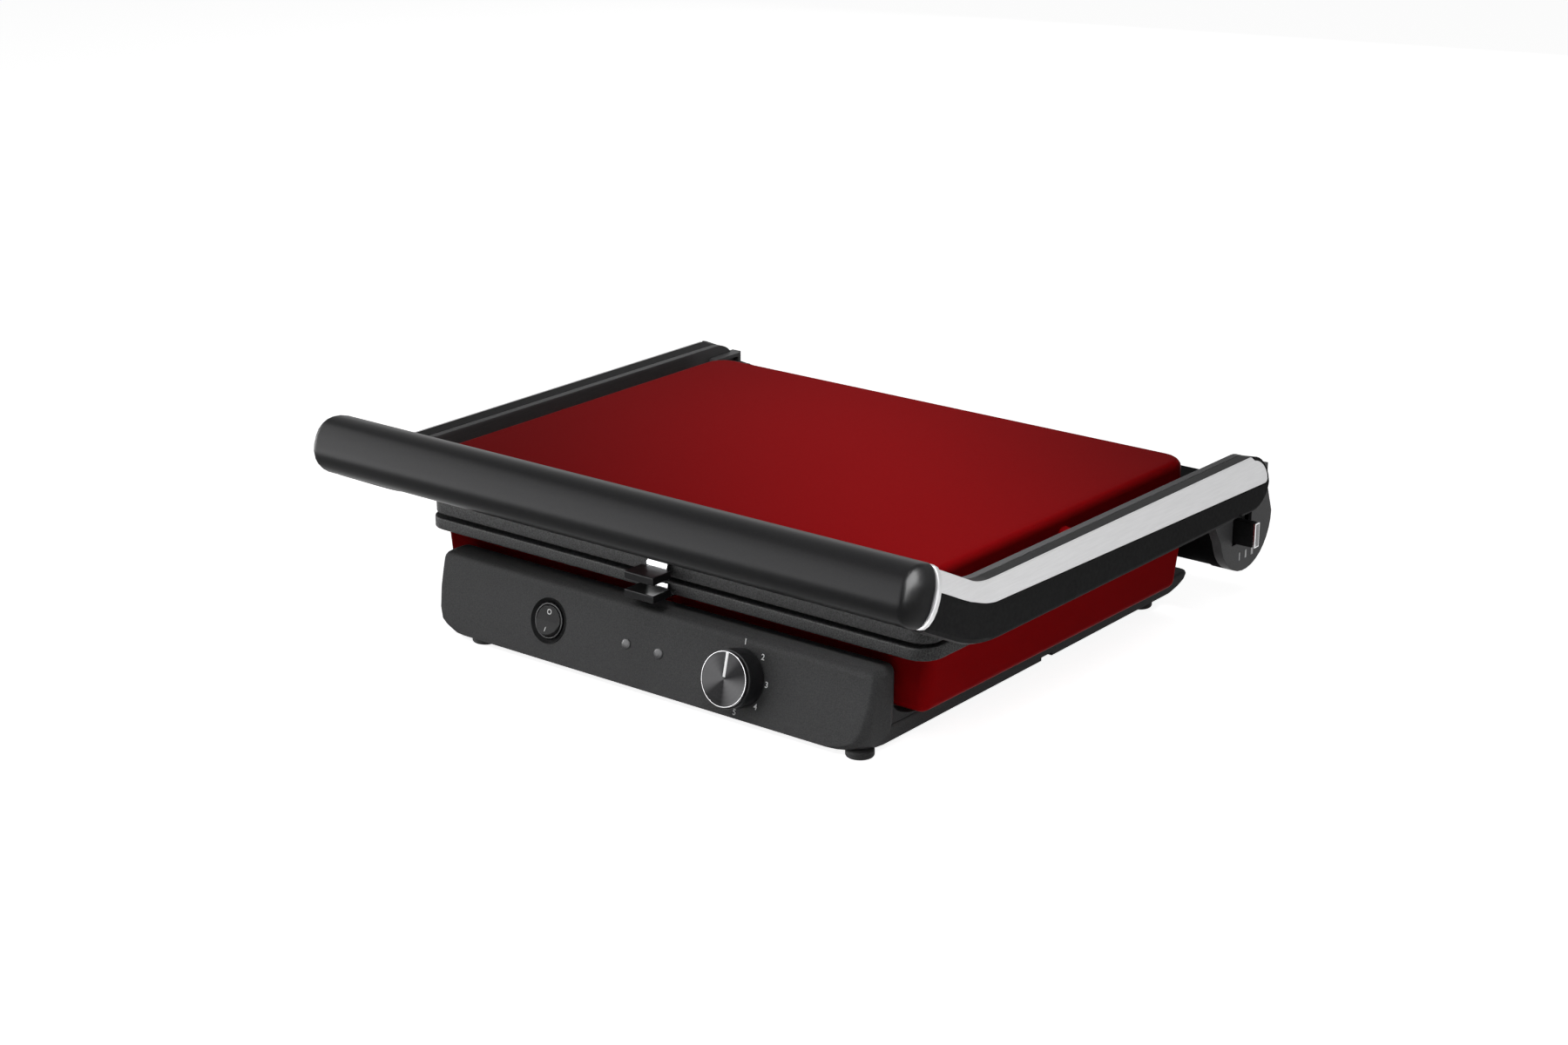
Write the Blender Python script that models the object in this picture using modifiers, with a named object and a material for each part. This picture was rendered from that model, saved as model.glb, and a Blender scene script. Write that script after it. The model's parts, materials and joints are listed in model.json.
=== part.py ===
# Sandwich maker with a floating lid, swept arms, a dial and a height lever.
# Metres, +Z up, front towards -Y, origin under the middle of the part.
import math

import bmesh
import bpy
from mathutils import Matrix, Vector

# Shared clearances and walls
gap = 0.0003
wall = 0.0025
sheet = 0.0008
overrun = 0.004
merge_distance = 0.00001
arc_steps = 5
round_steps = 20

# The body that the other pieces follow
lid_half = 0.1635
housing_front = -0.1188
housing_rear = 0.1152
housing_top = 0.0510

# Feet
foot_radius = 0.00725
foot_height = 0.0043
foot_stem_radius = 0.003
foot_stem_height = 0.0030
foot_front_right_inset = 0.0070
foot_rear_right_inset = 0.0086
foot_left_inset = 0.0237
foot_front_setback = 0.0098
foot_rear_setback = 0.0058

# Console at the front of the base
console_drop = 0.0055
console_inset = 0.0185
console_foot_inset = 0.0030
console_step = 0.0015
console_depth = 0.0281
console_edge = 0.0048
console_rear_corner = 0.0060
panel_lean = math.radians(14)
console_corner = 0.0200
corner_level_shares = (0.0, 0.07, 0.14, 0.30, 0.60, 0.88)
corner_size_shares = (1.0, 0.60, 0.37, 0.24, 0.17, 0.14)
foot_inset_shares = (1.0, 0.80, 0.60, 0.27, 0.0, 0.0)

# Base tray with a tail swept up at the rear, shoulder, plinth and rear post
rail_top = 0.0124
rail_edge = 0.0016
rail_front_inset = 0.0025
rail_rear_inset = 0.0060
rail_front_corner = 0.0170
base_rear_reach = 0.0455
base_rear_corner = 0.0060
tail_reach = 0.0110
tail_level_shares = (0.0, 0.20, 0.40, 0.65, 1.0)
tail_inset_shares = (1.0, 0.62, 0.36, 0.12, 0.0)
shoulder_length = 0.0270
shoulder_height = 0.0116
plinth_inset = 0.0090
plinth_reach = 0.0038
post_inset = 0.0040
post_drop = 0.0110
notch_width = 0.0100
notch_height = 0.0018
notch_y = 0.0172
cover_thickness = 0.0020
vent_length = 0.0300
vent_width = 0.0030
vent_pitch = 0.0070
vent_count = 8
boss_radius = 0.0036
screw_radius = 0.0014
screw_head_radius = 0.0028
screw_head_height = 0.0014
screw_length = 0.0050
screw_inset = 0.0120
screw_rear_inset = 0.0170
gland_radius = 0.0052
gland_flange = 0.0015
gland_flange_thickness = 0.0015
gland_bore = 0.0036
gland_length = 0.0100
gland_x = -0.0800
gland_z = 0.0165

# Lower housing
housing_bottom = 0.0200
housing_inset = 0.0003
housing_taper = 0.0040
housing_corner = 0.0060
housing_edge = 0.0050
pan_depth = 0.0240

# Plates, closed one on the other
plate_overhang = 0.00425
plate_front_reach = 0.0097
plate_rear_inset = 0.0010
plate_corner = 0.0120
plate_edge = 0.0012
lower_plate_thickness = 0.0068
upper_plate_thickness = 0.0077
plate_gap = 0.0017
upper_plate_inset = 0.0010
plate_rim = 0.0090
rib_drop = 0.0004
groove_depth = 0.0030
groove_width = 0.0085
groove_pitch = 0.0135

# Tubular heaters
heater_radius = 0.0031
heater_half_x = 0.1050
heater_half_y = 0.0700
heater_bend = 0.0300
heater_tail = 0.0180
heater_leg_x = 0.0300

# Lid
lid_height = 0.0440
lid_front_reach = 0.0060
lid_rear_reach = 0.0022
lid_corner = 0.0140
lid_edge = 0.0045
lid_pan_depth = 0.0215
lid_pivot_y = -0.0068
lid_pivot_rise = 0.0024
lid_boss_radius = 0.0055
lid_pin_radius = 0.0025
lid_pin_head_radius = 0.0042
lid_pin_head_length = 0.0030
lid_pin_bite = 0.0032

# Clips that hold the removable plates
clip_half_width = 0.0067
clip_sheet = 0.0008
clip_notch_half = 0.0090
clip_notch_depth = 0.0024
tab_half_width = 0.0081
tab_height = 0.0034
tab_length = 0.0098
tab_tongue = 0.0040
tab_tongue_height = 0.0013
tab_edge = 0.0007
clip_stand_off = 0.0021
clip_foot = 0.0040

# Arms swept up into the handle
arm_half_height = 0.0146
arm_rise_above_housing = 0.0296
arm_stand_off = 0.0150
arm_core_width = 0.0043
arm_width = 0.01525
arm_front_step = 0.0005
arm_lean_width = 0.0035
arm_front_lean_width = -0.0004
arm_lower_edge = 0.0030
arm_lower_share = 0.30
arm_top_edge = 0.0004
arm_crown = 0.0009
arm_bend_setback = 0.0090
arm_bend_radius = 0.0626
arm_bend_angle = math.radians(25.7)
arm_end_reach = 0.0165
pivot_setback = 0.0237
inlay_front_height = 0.0089
inlay_bend_height = 0.0110
inlay_rear_height = 0.0158
inlay_taper_share = 0.30
inlay_depth = 0.0012
inlay_rim = 0.0011
inlay_corner = 0.0030
rear_turn_shares = (0.98, 0.91, 0.84, 0.75, 0.64, 0.50, 0.34, 0.17, 0.0)
relief_y = 0.1152
relief_radius = 0.0065
relief_drop = 0.0031
relief_depth = 0.0004

# Handle
handle_lean = math.radians(20)
handle_reach = 0.0469
handle_rise = 0.0216
trim_reach = 0.00445
trim_half_height = 0.0154
trim_thickness = 0.0030
handle_end = 0.0075
trim_power = 2.1
grip_power = 2.5
grip_half_height = 0.0159
grip_end_inset = 0.0020
grip_depth = 0.0190
grip_depth_end = 0.0068
grip_end_shares = (0.96, 0.86, 0.70, 0.50, 0.25, 0.0)
back_half_height = 0.0128
back_depth = 0.0080
back_edge = 0.0022
handle_screw_inset = 0.0585

# Hinge housing, covers, yoke and pins
hinge_reach = 0.0410
hinge_drop = 0.0005
hinge_radius = 0.0275
beam_radius = 0.0270
beam_rise = 0.0170
tower_clearance = 0.0011
tower_width = 0.0072
tower_rise = 0.0029
cover_width = 0.0060
cover_rise = 0.0089
cover_wall = 0.0022
rear_side_shares = (
    (0.865, 0.256), (0.775, 0.436), (0.73, 0.567), (0.40, 0.641),
    (-0.025, 0.765), (-0.327, 0.860), (-0.327, 1.0),
)
front_side_shares = ((-1.135, 1.0), (-1.30, 0.86), (-1.30, 0.55), (-1.235, 0.14))
tower_turn = math.radians(192)
lug_clearance = 0.0010
lug_length = 0.0086
lug_height = 0.0150
lug_foot_height = 0.0075
lug_stand_off = 0.0035
lug_reach = 0.0100
lug_rise = 0.0057
hinge_pin_radius = 0.0025
hinge_pin_bite = 0.0075
lift_travel = 0.0030
yoke_inset = 0.0037
yoke_width = 0.0065
yoke_half_width = 0.0055
yoke_top_wall = 0.0008
yoke_drop = 0.0150
yoke_shoulder_drop = 0.0100
yoke_heel_drop = 0.0180
yoke_bar_radius = 0.0028
yoke_bar_setback = 0.0020
yoke_bar_rise = 0.0080
yoke_foot_front_setback = 0.0040
yoke_foot_rear_reach = 0.0030
lever_travel = 0.0120
lever_setback = 0.0095
lever_drop = 0.0025
lever_thickness = 0.0045
lever_height = 0.0140
lever_reach = 0.0105
lever_cap_thickness = 0.0015
lever_cap_rim = 0.0008
lever_cap_recess = 0.0006
lever_slot_lead = 0.0030
wedge_front_setback = 0.0170
wedge_rear_reach = 0.0040
wedge_rise = 0.0065

# Dial, lamps and switch on the leaning panel, by distance up the panel
dial_x = 0.0652
dial_up = 0.0211
dial_radius = 0.0150
dial_face_radius = 0.0141
dial_ring_width = 0.0011
dial_height = 0.0144
dial_ring_height = 0.0022
dial_face_thickness = 0.0009
dial_skirt = 0.0012
shaft_radius = 0.0030
thermostat_radius = 0.0150
thermostat_depth = 0.0090
thermostat_neck_radius = 0.0048
shaft_bite_share = 0.33
lamp_left_x = -0.0105
lamp_right_x = 0.0112
lamp_up = 0.0208
lamp_radius = 0.0020
lamp_body_radius = 0.0032
lamp_body_length = 0.0060
switch_x = -0.0646
switch_up = 0.0210
switch_radius = 0.0096
switch_bore = 0.0086
switch_recess_radius = 0.0123
switch_recess_depth = 0.0014
switch_collar = 0.0020
switch_collar_length = 0.0016
switch_depth = 0.0125
rocker_radius = 0.0083
rocker_pivot_depth = 0.0010
rocker_valley = 0.0002
rocker_half_depth = 0.0050
rocker_angle = math.radians(20)
terminal_x = 0.0300
terminal_length = 0.0300
terminal_width = 0.0120
terminal_height = 0.0080

# Places across the part, from the lid's half width
housing_half = lid_half - housing_inset
plate_half = lid_half + plate_overhang
console_half_width = lid_half - console_inset
rail_front_half = console_half_width - rail_front_inset
rail_rear_half = console_half_width - rail_rear_inset
plinth_half = rail_rear_half - plinth_inset
post_half = plinth_half - post_inset
foot_front_right_x = rail_front_half - foot_front_right_inset
foot_rear_right_x = rail_rear_half - foot_rear_right_inset
foot_left_x = foot_left_inset - rail_rear_half
screw_inset_x = plinth_half - screw_inset
arm_inner_x = lid_half + arm_stand_off
arm_outer_x = arm_inner_x + arm_width
arm_outer_front_x = arm_outer_x + arm_front_step
core_outer_x = arm_inner_x + arm_core_width
shell_inner_x = core_outer_x + gap
lid_boss_end = arm_inner_x - gap
trim_half_length = arm_outer_front_x + trim_reach
handle_screw_x = arm_inner_x - handle_screw_inset
tower_inner_x = housing_half + tower_clearance
tower_outer_x = tower_inner_x + tower_width
cover_outer_x = tower_outer_x + cover_width
lug_inner_x = cover_outer_x + lug_stand_off
lug_outer_x = cover_outer_x + lug_reach
lever_outer_x = cover_outer_x + lever_reach
yoke_inner_x = tower_inner_x + yoke_inset
yoke_outer_x = yoke_inner_x + yoke_width
hinge_pin_inner_x = tower_inner_x + wall + gap
groove_count = int((plate_half - plate_rim - plate_edge) * 2 / groove_pitch)

# Places along the part, from the housing's front and rear
console_rear = housing_front - console_step
console_front = console_rear - console_depth
foot_front_y = console_front + foot_front_setback
screw_front_y = console_rear - wall - boss_radius / 2
plate_front = housing_front - plate_front_reach
plate_rear = housing_rear - plate_rear_inset
lid_front = housing_front - lid_front_reach
lid_rear = housing_rear + lid_rear_reach
arm_bend_start = housing_front + arm_bend_setback
handle_y = housing_front - handle_reach
plinth_rear = housing_rear + plinth_reach
base_rear = plinth_rear + base_rear_reach
foot_rear_y = plinth_rear + foot_rear_setback
screw_rear_y = plinth_rear - screw_rear_inset
hinge_y = housing_rear + hinge_reach
pivot_y = hinge_y - pivot_setback
yoke_bar_y = hinge_y - yoke_bar_setback
yoke_foot_front = hinge_y - yoke_foot_front_setback
yoke_foot_rear = hinge_y + yoke_foot_rear_reach
lever_y = hinge_y - lever_setback
wedge_front = hinge_y - wedge_front_setback
wedge_rear = hinge_y + wedge_rear_reach
lug_front = pivot_y + arm_end_reach + lug_clearance

# Levels, from the floor and from the housing's rim
base_bottom = foot_height
console_top = housing_top - console_drop
post_top = housing_top - post_drop
lower_plate_bottom = housing_top + gap
lower_plate_top = lower_plate_bottom + lower_plate_thickness
upper_plate_bottom = lower_plate_top + plate_gap
upper_plate_top = upper_plate_bottom + upper_plate_thickness
lid_bottom = upper_plate_top + gap
lid_top = housing_top + lid_height
arm_centre_z = housing_top + arm_rise_above_housing
lid_pivot_z = arm_centre_z + lid_pivot_rise
pivot_z = arm_centre_z
handle_z = arm_centre_z + handle_rise
hinge_z = housing_top - hinge_drop
beam_flat_top = housing_top + beam_rise
tower_top = arm_centre_z + tower_rise
cover_top = arm_centre_z + cover_rise
lug_top = arm_centre_z + lug_rise
yoke_bar_z = hinge_z + yoke_bar_rise
lever_z = hinge_z - lever_drop
wedge_top = hinge_z + wedge_rise
shaft_end = -wall - thermostat_depth * shaft_bite_share

# Slopes and turns
tan_lean = math.tan(panel_lean)
lift_slope = lift_travel / lever_travel
arm_rise = math.sin(arm_bend_angle)
arm_run = math.cos(arm_bend_angle)

finishes = {
    "charcoal_plastic": ((0.035, 0.036, 0.038), 0.62, 0.0),
    "gloss_black": ((0.012, 0.012, 0.013), 0.18, 0.0),
    "matt_black": ((0.020, 0.020, 0.021), 0.55, 0.0),
    "hinge_grey": ((0.070, 0.070, 0.072), 0.45, 0.0),
    "red_enamel": ((0.330, 0.012, 0.020), 0.22, 0.0),
    "cast_plate": ((0.060, 0.060, 0.062), 0.60, 0.3),
    "satin_silver": ((0.620, 0.620, 0.630), 0.30, 1.0),
    "chrome": ((0.800, 0.800, 0.810), 0.10, 1.0),
    "steel": ((0.550, 0.550, 0.560), 0.35, 1.0),
    "rubber": ((0.020, 0.020, 0.020), 0.80, 0.0),
    "lamp_plastic": ((0.450, 0.300, 0.160), 0.25, 0.0),
    "white_plastic": ((0.700, 0.690, 0.660), 0.50, 0.0),
}


def clear_scene():
    for item in list(bpy.data.objects):
        bpy.data.objects.remove(item, do_unlink=True)


def new_collection(name):
    collection = bpy.data.collections.new(name)
    bpy.context.scene.collection.children.link(collection)
    return collection


def make_materials():
    materials = {}
    for name, (colour, roughness, metallic) in finishes.items():
        material = bpy.data.materials.new(name)
        material.use_nodes = True
        shader = material.node_tree.nodes["Principled BSDF"]
        shader.inputs["Base Color"].default_value = (*colour, 1.0)
        shader.inputs["Roughness"].default_value = roughness
        shader.inputs["Metallic"].default_value = metallic
        materials[name] = material
    return materials


clear_scene()
parts = new_collection("sandwich_maker")
tools = new_collection("cutters")
materials = make_materials()


def add_mesh(name, finish, mesh, smooth=True):
    item = bpy.data.objects.new(name, mesh)
    if finish is None:
        tools.objects.link(item)
        item.hide_render = True
        item.display_type = "WIRE"
        return item
    parts.objects.link(item)
    mesh.materials.append(materials[finish])
    if smooth:
        mesh.shade_smooth()
        mesh.set_sharp_from_angle(angle=math.radians(32))
    return item


def finish_bmesh(name, finish, bm, smooth=True):
    bmesh.ops.recalc_face_normals(bm, faces=bm.faces)
    if bm.calc_volume(signed=True) < 0:
        bmesh.ops.reverse_faces(bm, faces=bm.faces)
    mesh = bpy.data.meshes.new(name)
    bm.to_mesh(mesh)
    bm.free()
    return add_mesh(name, finish, mesh, smooth)


def loft(name, finish, rings):
    bm = bmesh.new()
    rows = [[bm.verts.new(point) for point in ring] for ring in rings]
    for low, high in zip(rows, rows[1:]):
        for i in range(len(low)):
            j = (i + 1) % len(low)
            bm.faces.new((low[i], low[j], high[j], high[i]))
    bm.faces.new(rows[0])
    bm.faces.new(rows[-1])
    return finish_bmesh(name, finish, bm)


def rounded_ring(half_front, half_rear, front, rear, corner_front, corner_rear, z):
    corners = (
        (half_rear - corner_rear, rear - corner_rear, corner_rear, 0.0),
        (corner_rear - half_rear, rear - corner_rear, corner_rear, 90.0),
        (corner_front - half_front, front + corner_front, corner_front, 180.0),
        (half_front - corner_front, front + corner_front, corner_front, 270.0),
    )
    points = []
    for x, y, radius, start in corners:
        for step in range(arc_steps + 1):
            turn = math.radians(start + 90.0 * step / arc_steps)
            points.append(Vector((x + radius * math.cos(turn), y + radius * math.sin(turn), z)))
    return points


def box_ring(half, front, rear, corner, z, inset=0.0):
    return rounded_ring(
        half - inset, half - inset, front + inset, rear - inset,
        max(corner - inset, corner / arc_steps), max(corner - inset, corner / arc_steps), z,
    )


def edge_levels(radius, steps=4):
    # Inset and drop of a rounded edge, from its side to its face
    turns = [math.radians(90.0 * step / steps) for step in range(steps + 1)]
    return [(radius * (1 - math.cos(turn)), radius * (1 - math.sin(turn))) for turn in turns]


def prism_x(name, finish, outline, x_low, x_high):
    # An outline of (y, z) points carried along X
    rings = [[Vector((x, y, z)) for y, z in outline] for x in (x_low, x_high)]
    return loft(name, finish, rings)


def box(name, finish, low, high):
    bm = bmesh.new()
    bmesh.ops.create_cube(bm, size=1.0)
    middle = (Vector(low) + Vector(high)) / 2
    size = Vector(high) - Vector(low)
    bm.transform(Matrix.Translation(middle) @ Matrix.Diagonal((*size, 1.0)))
    return finish_bmesh(name, finish, bm, smooth=False)


def rod_x(name, finish, centre, radius, x_low, x_high, end_radius=None, steps=round_steps):
    bm = bmesh.new()
    far = radius if end_radius is None else end_radius
    bmesh.ops.create_cone(
        bm, cap_ends=True, segments=steps, radius1=radius, radius2=far, depth=abs(x_high - x_low)
    )
    turn = Matrix.Rotation(math.radians(90), 4, "Y")
    if x_high < x_low:
        turn = Matrix.Rotation(math.radians(-90), 4, "Y")
    place = Vector(((x_low + x_high) / 2, centre[0], centre[1]))
    bm.transform(Matrix.Translation(place) @ turn)
    return finish_bmesh(name, finish, bm)


def turned(name, finish, profile, place, tilt, steps=round_steps):
    # A profile of (radius, height) points, top to bottom, spun round local Z
    mesh = bpy.data.meshes.new(name)
    edges = [(i, i + 1) for i in range(len(profile) - 1)]
    mesh.from_pydata([(radius, 0, height) for radius, height in profile], edges, [])
    item = add_mesh(name, finish, mesh, smooth=False)
    item.location = place
    item.rotation_euler = (tilt, 0, 0)
    spin = item.modifiers.new("spin", "SCREW")
    spin.steps = steps
    spin.render_steps = steps
    spin.use_merge_vertices = True
    spin.merge_threshold = merge_distance
    spin.use_smooth_shade = True
    return item


def turned_ring(name, finish, profile, place, tilt, steps=round_steps):
    # A closed profile, such as a ring with a bore, spun round local Z
    return turned(name, finish, (*profile, profile[0]), place, tilt, steps)


def combine(item, other, operation):
    change = item.modifiers.new(operation.lower(), "BOOLEAN")
    change.operation = operation
    change.solver = "EXACT"
    change.object = other


def cut(item, *cutters):
    for cutter in cutters:
        combine(item, cutter, "DIFFERENCE")


def join(item, *others):
    for other in others:
        combine(item, other, "UNION")


def bevel(item, width, segments=2):
    change = item.modifiers.new("edge", "BEVEL")
    change.width = width
    change.segments = segments
    change.limit_method = "ANGLE"
    change.angle_limit = math.radians(40)
    change.harden_normals = False


def set_origin(item, point):
    point = Vector(point)
    item.data.transform(Matrix.Translation(-point))
    item.location = point


def panel_point(x, up, out=0.0):
    lean = Vector((0, math.sin(panel_lean), math.cos(panel_lean)))
    normal = Vector((0, -math.cos(panel_lean), math.sin(panel_lean)))
    return Vector((x, console_front, base_bottom)) + lean * up + normal * out


def handle_point(x, up, out):
    lean = Vector((0, math.sin(handle_lean), math.cos(handle_lean)))
    normal = Vector((0, -math.cos(handle_lean), math.sin(handle_lean)))
    return Vector((x, handle_y, handle_z)) + lean * up + normal * out


panel_tilt = math.pi / 2 - panel_lean
handle_tilt = math.pi / 2 - handle_lean


def panel_front(z):
    return console_front + (z - base_bottom) * tan_lean


# Base shell and its cover

def console_rings(inset, low, high):
    rings = []
    for level, share, back in zip(corner_level_shares, corner_size_shares, foot_inset_shares):
        z = low + (console_top - console_edge - base_bottom) * level
        half = console_half_width - inset - console_foot_inset * back
        rings.append(rounded_ring(
            half, half, panel_front(z) + inset / math.cos(panel_lean), console_rear - inset,
            console_corner * share, console_rear_corner, z,
        ))
    for back, drop in edge_levels(console_edge):
        half = console_half_width - inset - back
        rings.append(rounded_ring(
            half, half, panel_front(high - console_edge) + back + inset / math.cos(panel_lean),
            console_rear - inset - back,
            console_corner * corner_size_shares[-1], console_rear_corner - back, high - drop,
        ))
    return rings


def tray_ring(inset, z, tail=1.0):
    # The tail share draws the rear in, as the underside sweeps up there
    corner = max(base_rear_corner + tail_reach * tail / 2 - inset, base_rear_corner / arc_steps)
    return rounded_ring(
        rail_front_half - inset, rail_rear_half - inset, console_front + wall + inset,
        base_rear - tail_reach * tail - inset, rail_front_corner, corner, z,
    )


def tail_shares():
    return list(zip(tail_level_shares, tail_inset_shares))


def tail_level(share, high):
    return base_bottom + (high - base_bottom) * share


def tray_rings(inset, high, edge):
    rings = [tray_ring(inset, tail_level(share, high - edge), tail) for share, tail in tail_shares()]
    for back, drop in edge_levels(edge, steps=2)[1:]:
        rings.append(tray_ring(inset + back, high - drop, 0.0))
    return rings


def shoulder_outline():
    rear = console_rear + shoulder_length
    top = rail_top + shoulder_height
    points = [(console_rear - wall, rail_top - overrun), (console_rear - wall, top)]
    for step in range(round_steps // 3 + 1):
        turn = math.radians(90.0) * step / (round_steps // 3)
        y = rear - shoulder_length * math.cos(turn)
        points.append((y, top - shoulder_height * math.sin(turn)))
    points.append((rear, rail_top - overrun))
    return points


def make_base():
    shell = loft("base_shell", "charcoal_plastic", console_rings(0.0, base_bottom, console_top))
    tray = loft("tray_form", None, tray_rings(gap / 2, rail_top, rail_edge))
    shoulder = prism_x(
        "shoulder_form", None, shoulder_outline(), -rail_front_half + wall / 2, rail_front_half - wall / 2
    )
    plinth_top = housing_bottom - gap
    plinth = loft("plinth_form", None, [
        box_ring(plinth_half, console_rear - wall, plinth_rear, base_rear_corner, z)
        for z in (rail_top - overrun / 2, plinth_top)
    ])
    levels = [(tail_level(share, rail_top - rail_edge), tail) for share, tail in tail_shares()[1:]]
    post = loft("post_form", None, [
        box_ring(post_half, plinth_rear - wall, base_rear - tail_reach * tail - gap, base_rear_corner, z)
        for z, tail in (*levels, (post_top, 0.0))
    ])
    join(shell, tray, shoulder, plinth, post)
    beam_room = rod_x(
        "beam_room", None, (hinge_y, hinge_z), beam_radius + gap, -cover_outer_x, cover_outer_x,
        steps=round_steps * 2,
    )
    cut(shell, beam_room)
    hollow_base(shell, plinth_top)
    cut_panel(shell)
    notch = box(
        "rail_notch", None,
        (-rail_front_half - overrun, notch_y - notch_width / 2, base_bottom - overrun),
        (rail_front_half + overrun, notch_y + notch_width / 2, base_bottom + notch_height),
    )
    gland_hole = rod_y("gland_hole", None, gland_x, gland_z, gland_radius + gap,
                       base_rear - tail_reach - wall * 2, base_rear + overrun)
    cut(shell, notch, gland_hole)


def rod_y(name, finish, x, z, radius, y_low, y_high):
    bm = bmesh.new()
    bmesh.ops.create_cone(
        bm, cap_ends=True, segments=round_steps, radius1=radius, radius2=radius, depth=y_high - y_low
    )
    turn = Matrix.Rotation(math.radians(90), 4, "X")
    bm.transform(Matrix.Translation((x, (y_low + y_high) / 2, z)) @ turn)
    return finish_bmesh(name, finish, bm)


def rod_z(name, finish, x, y, radius, z_low, z_high):
    bm = bmesh.new()
    bmesh.ops.create_cone(
        bm, cap_ends=True, segments=round_steps // 2, radius1=radius, radius2=radius, depth=z_high - z_low
    )
    bm.transform(Matrix.Translation((x, y, (z_low + z_high) / 2)))
    return finish_bmesh(name, finish, bm)


def hollow_base(shell, plinth_top):
    low = base_bottom - overrun
    console_room = loft("console_room", None, [
        rounded_ring(
            console_half_width - console_foot_inset - wall, console_half_width - console_foot_inset - wall,
            panel_front(z) + wall / math.cos(panel_lean), console_rear - wall,
            console_corner * share, console_rear_corner / 2, z,
        )
        for z, share in (
            (base_bottom + wall + gap, corner_size_shares[1]),
            (rail_top, corner_size_shares[2]),
            (console_top - wall - console_edge / 2, corner_size_shares[3]),
        )
    ])
    tray_room = loft("tray_room", None, [tray_ring(wall, z) for z in (low, rail_top - wall)])
    plinth_room = loft("plinth_room", None, [
        box_ring(plinth_half - wall, console_rear - wall * 2, plinth_rear, base_rear_corner, z)
        for z in (low + gap, plinth_top - wall)
    ])
    post_room = loft("post_room", None, [
        box_ring(
            post_half - wall, plinth_rear - wall * 2, base_rear - tail_reach - wall, base_rear_corner / 2, z
        )
        for z in (low - gap, hinge_z - beam_radius - wall)
    ])
    cut(shell, console_room, tray_room, plinth_room, post_room)
    for index, (x, y) in enumerate(cover_screw_places()):
        boss = rod_z(f"boss_form_{index}", None, x, y, boss_radius, base_bottom + cover_thickness + gap,
                     plinth_top - wall / 2)
        pilot = rod_z(f"pilot_{index}", None, x, y, screw_radius + gap, base_bottom,
                      base_bottom + screw_head_height + screw_length + gap)
        join(shell, boss)
        cut(shell, pilot)
    for index, (x, y) in enumerate(foot_places()):
        cut(shell, rod_z(f"foot_seat_{index}", None, x, y, foot_stem_radius + gap, low,
                         foot_height + foot_stem_height + gap))


def cover_screw_places():
    return [(side * screw_inset_x, y) for y in (screw_front_y, screw_rear_y) for side in (-1, 1)]


def cut_panel(shell):
    recess = turned("switch_recess", None, (
        (0, overrun),
        (switch_recess_radius + overrun, overrun),
        (switch_radius + gap, -switch_recess_depth),
        (switch_radius + gap, -wall * 2),
        (0, -wall * 2),
    ), panel_point(switch_x, switch_up), panel_tilt)
    cut(shell, recess)
    holes = (
        ("shaft_hole", dial_x, dial_up, thermostat_neck_radius + gap),
        ("lamp_hole_left", lamp_left_x, lamp_up, lamp_radius + gap),
        ("lamp_hole_right", lamp_right_x, lamp_up, lamp_radius + gap),
    )
    for name, x, up, radius in holes:
        hole = turned(name, None, (
            (0, overrun), (radius, overrun), (radius, -wall * 2), (0, -wall * 2),
        ), panel_point(x, up), panel_tilt)
        cut(shell, hole)


def make_bottom_cover():
    inset = wall + gap
    cover = loft("bottom_cover", "matt_black", [
        tray_ring(inset, z) for z in (base_bottom, base_bottom + cover_thickness)
    ])
    low = base_bottom - overrun
    high = base_bottom + cover_thickness + overrun
    slot = box(
        "vent_slots", None, (-vent_length / 2, -vent_pitch * vent_count / 2, low),
        (vent_length / 2, -vent_pitch * vent_count / 2 + vent_width, high),
    )
    row = slot.modifiers.new("row", "ARRAY")
    row.count = vent_count
    row.use_relative_offset = False
    row.use_constant_offset = True
    row.constant_offset_displace = (0, vent_pitch, 0)
    cut(cover, slot)
    for index, (x, y) in enumerate(cover_screw_places()):
        seat = turned(f"screw_seat_{index}", None, (
            (0, screw_head_height + gap), (screw_head_radius + gap, screw_head_height + gap),
            (screw_head_radius + gap, -overrun), (0, -overrun),
        ), (x, y, base_bottom), 0.0, steps=round_steps // 2)
        hole = rod_z(f"screw_hole_{index}", None, x, y, screw_radius + gap, low, high)
        cut(cover, seat, hole)
    for index, (x, y) in enumerate(foot_places()):
        cut(cover, rod_z(f"foot_hole_{index}", None, x, y, foot_stem_radius + gap, low, high))


def foot_places():
    return [
        (foot_left_x, foot_front_y), (foot_front_right_x, foot_front_y),
        (foot_left_x, foot_rear_y), (foot_rear_right_x, foot_rear_y),
    ]


def make_feet():
    names = ("foot_front_left", "foot_front_right", "foot_rear_left", "foot_rear_right")
    lip = foot_radius / arc_steps
    for name, (x, y) in zip(names, foot_places()):
        turned(name, "rubber", (
            (0, foot_height + foot_stem_height),
            (foot_stem_radius, foot_height + foot_stem_height),
            (foot_stem_radius, foot_height - gap),
            (foot_radius, foot_height - gap),
            (foot_radius, lip),
            (foot_radius - lip, 0),
            (0, 0),
        ), (x, y, 0), 0.0)


def make_cover_screws():
    for index, (x, y) in enumerate(cover_screw_places()):
        turned(f"cover_screw_{index + 1}", "steel", (
            (0, screw_head_height + screw_length),
            (screw_radius, screw_head_height + screw_length),
            (screw_radius, screw_head_height),
            (screw_head_radius, screw_head_height),
            (screw_head_radius, gap),
            (0, gap),
        ), (x, y, base_bottom), 0.0, steps=round_steps // 2)


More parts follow.
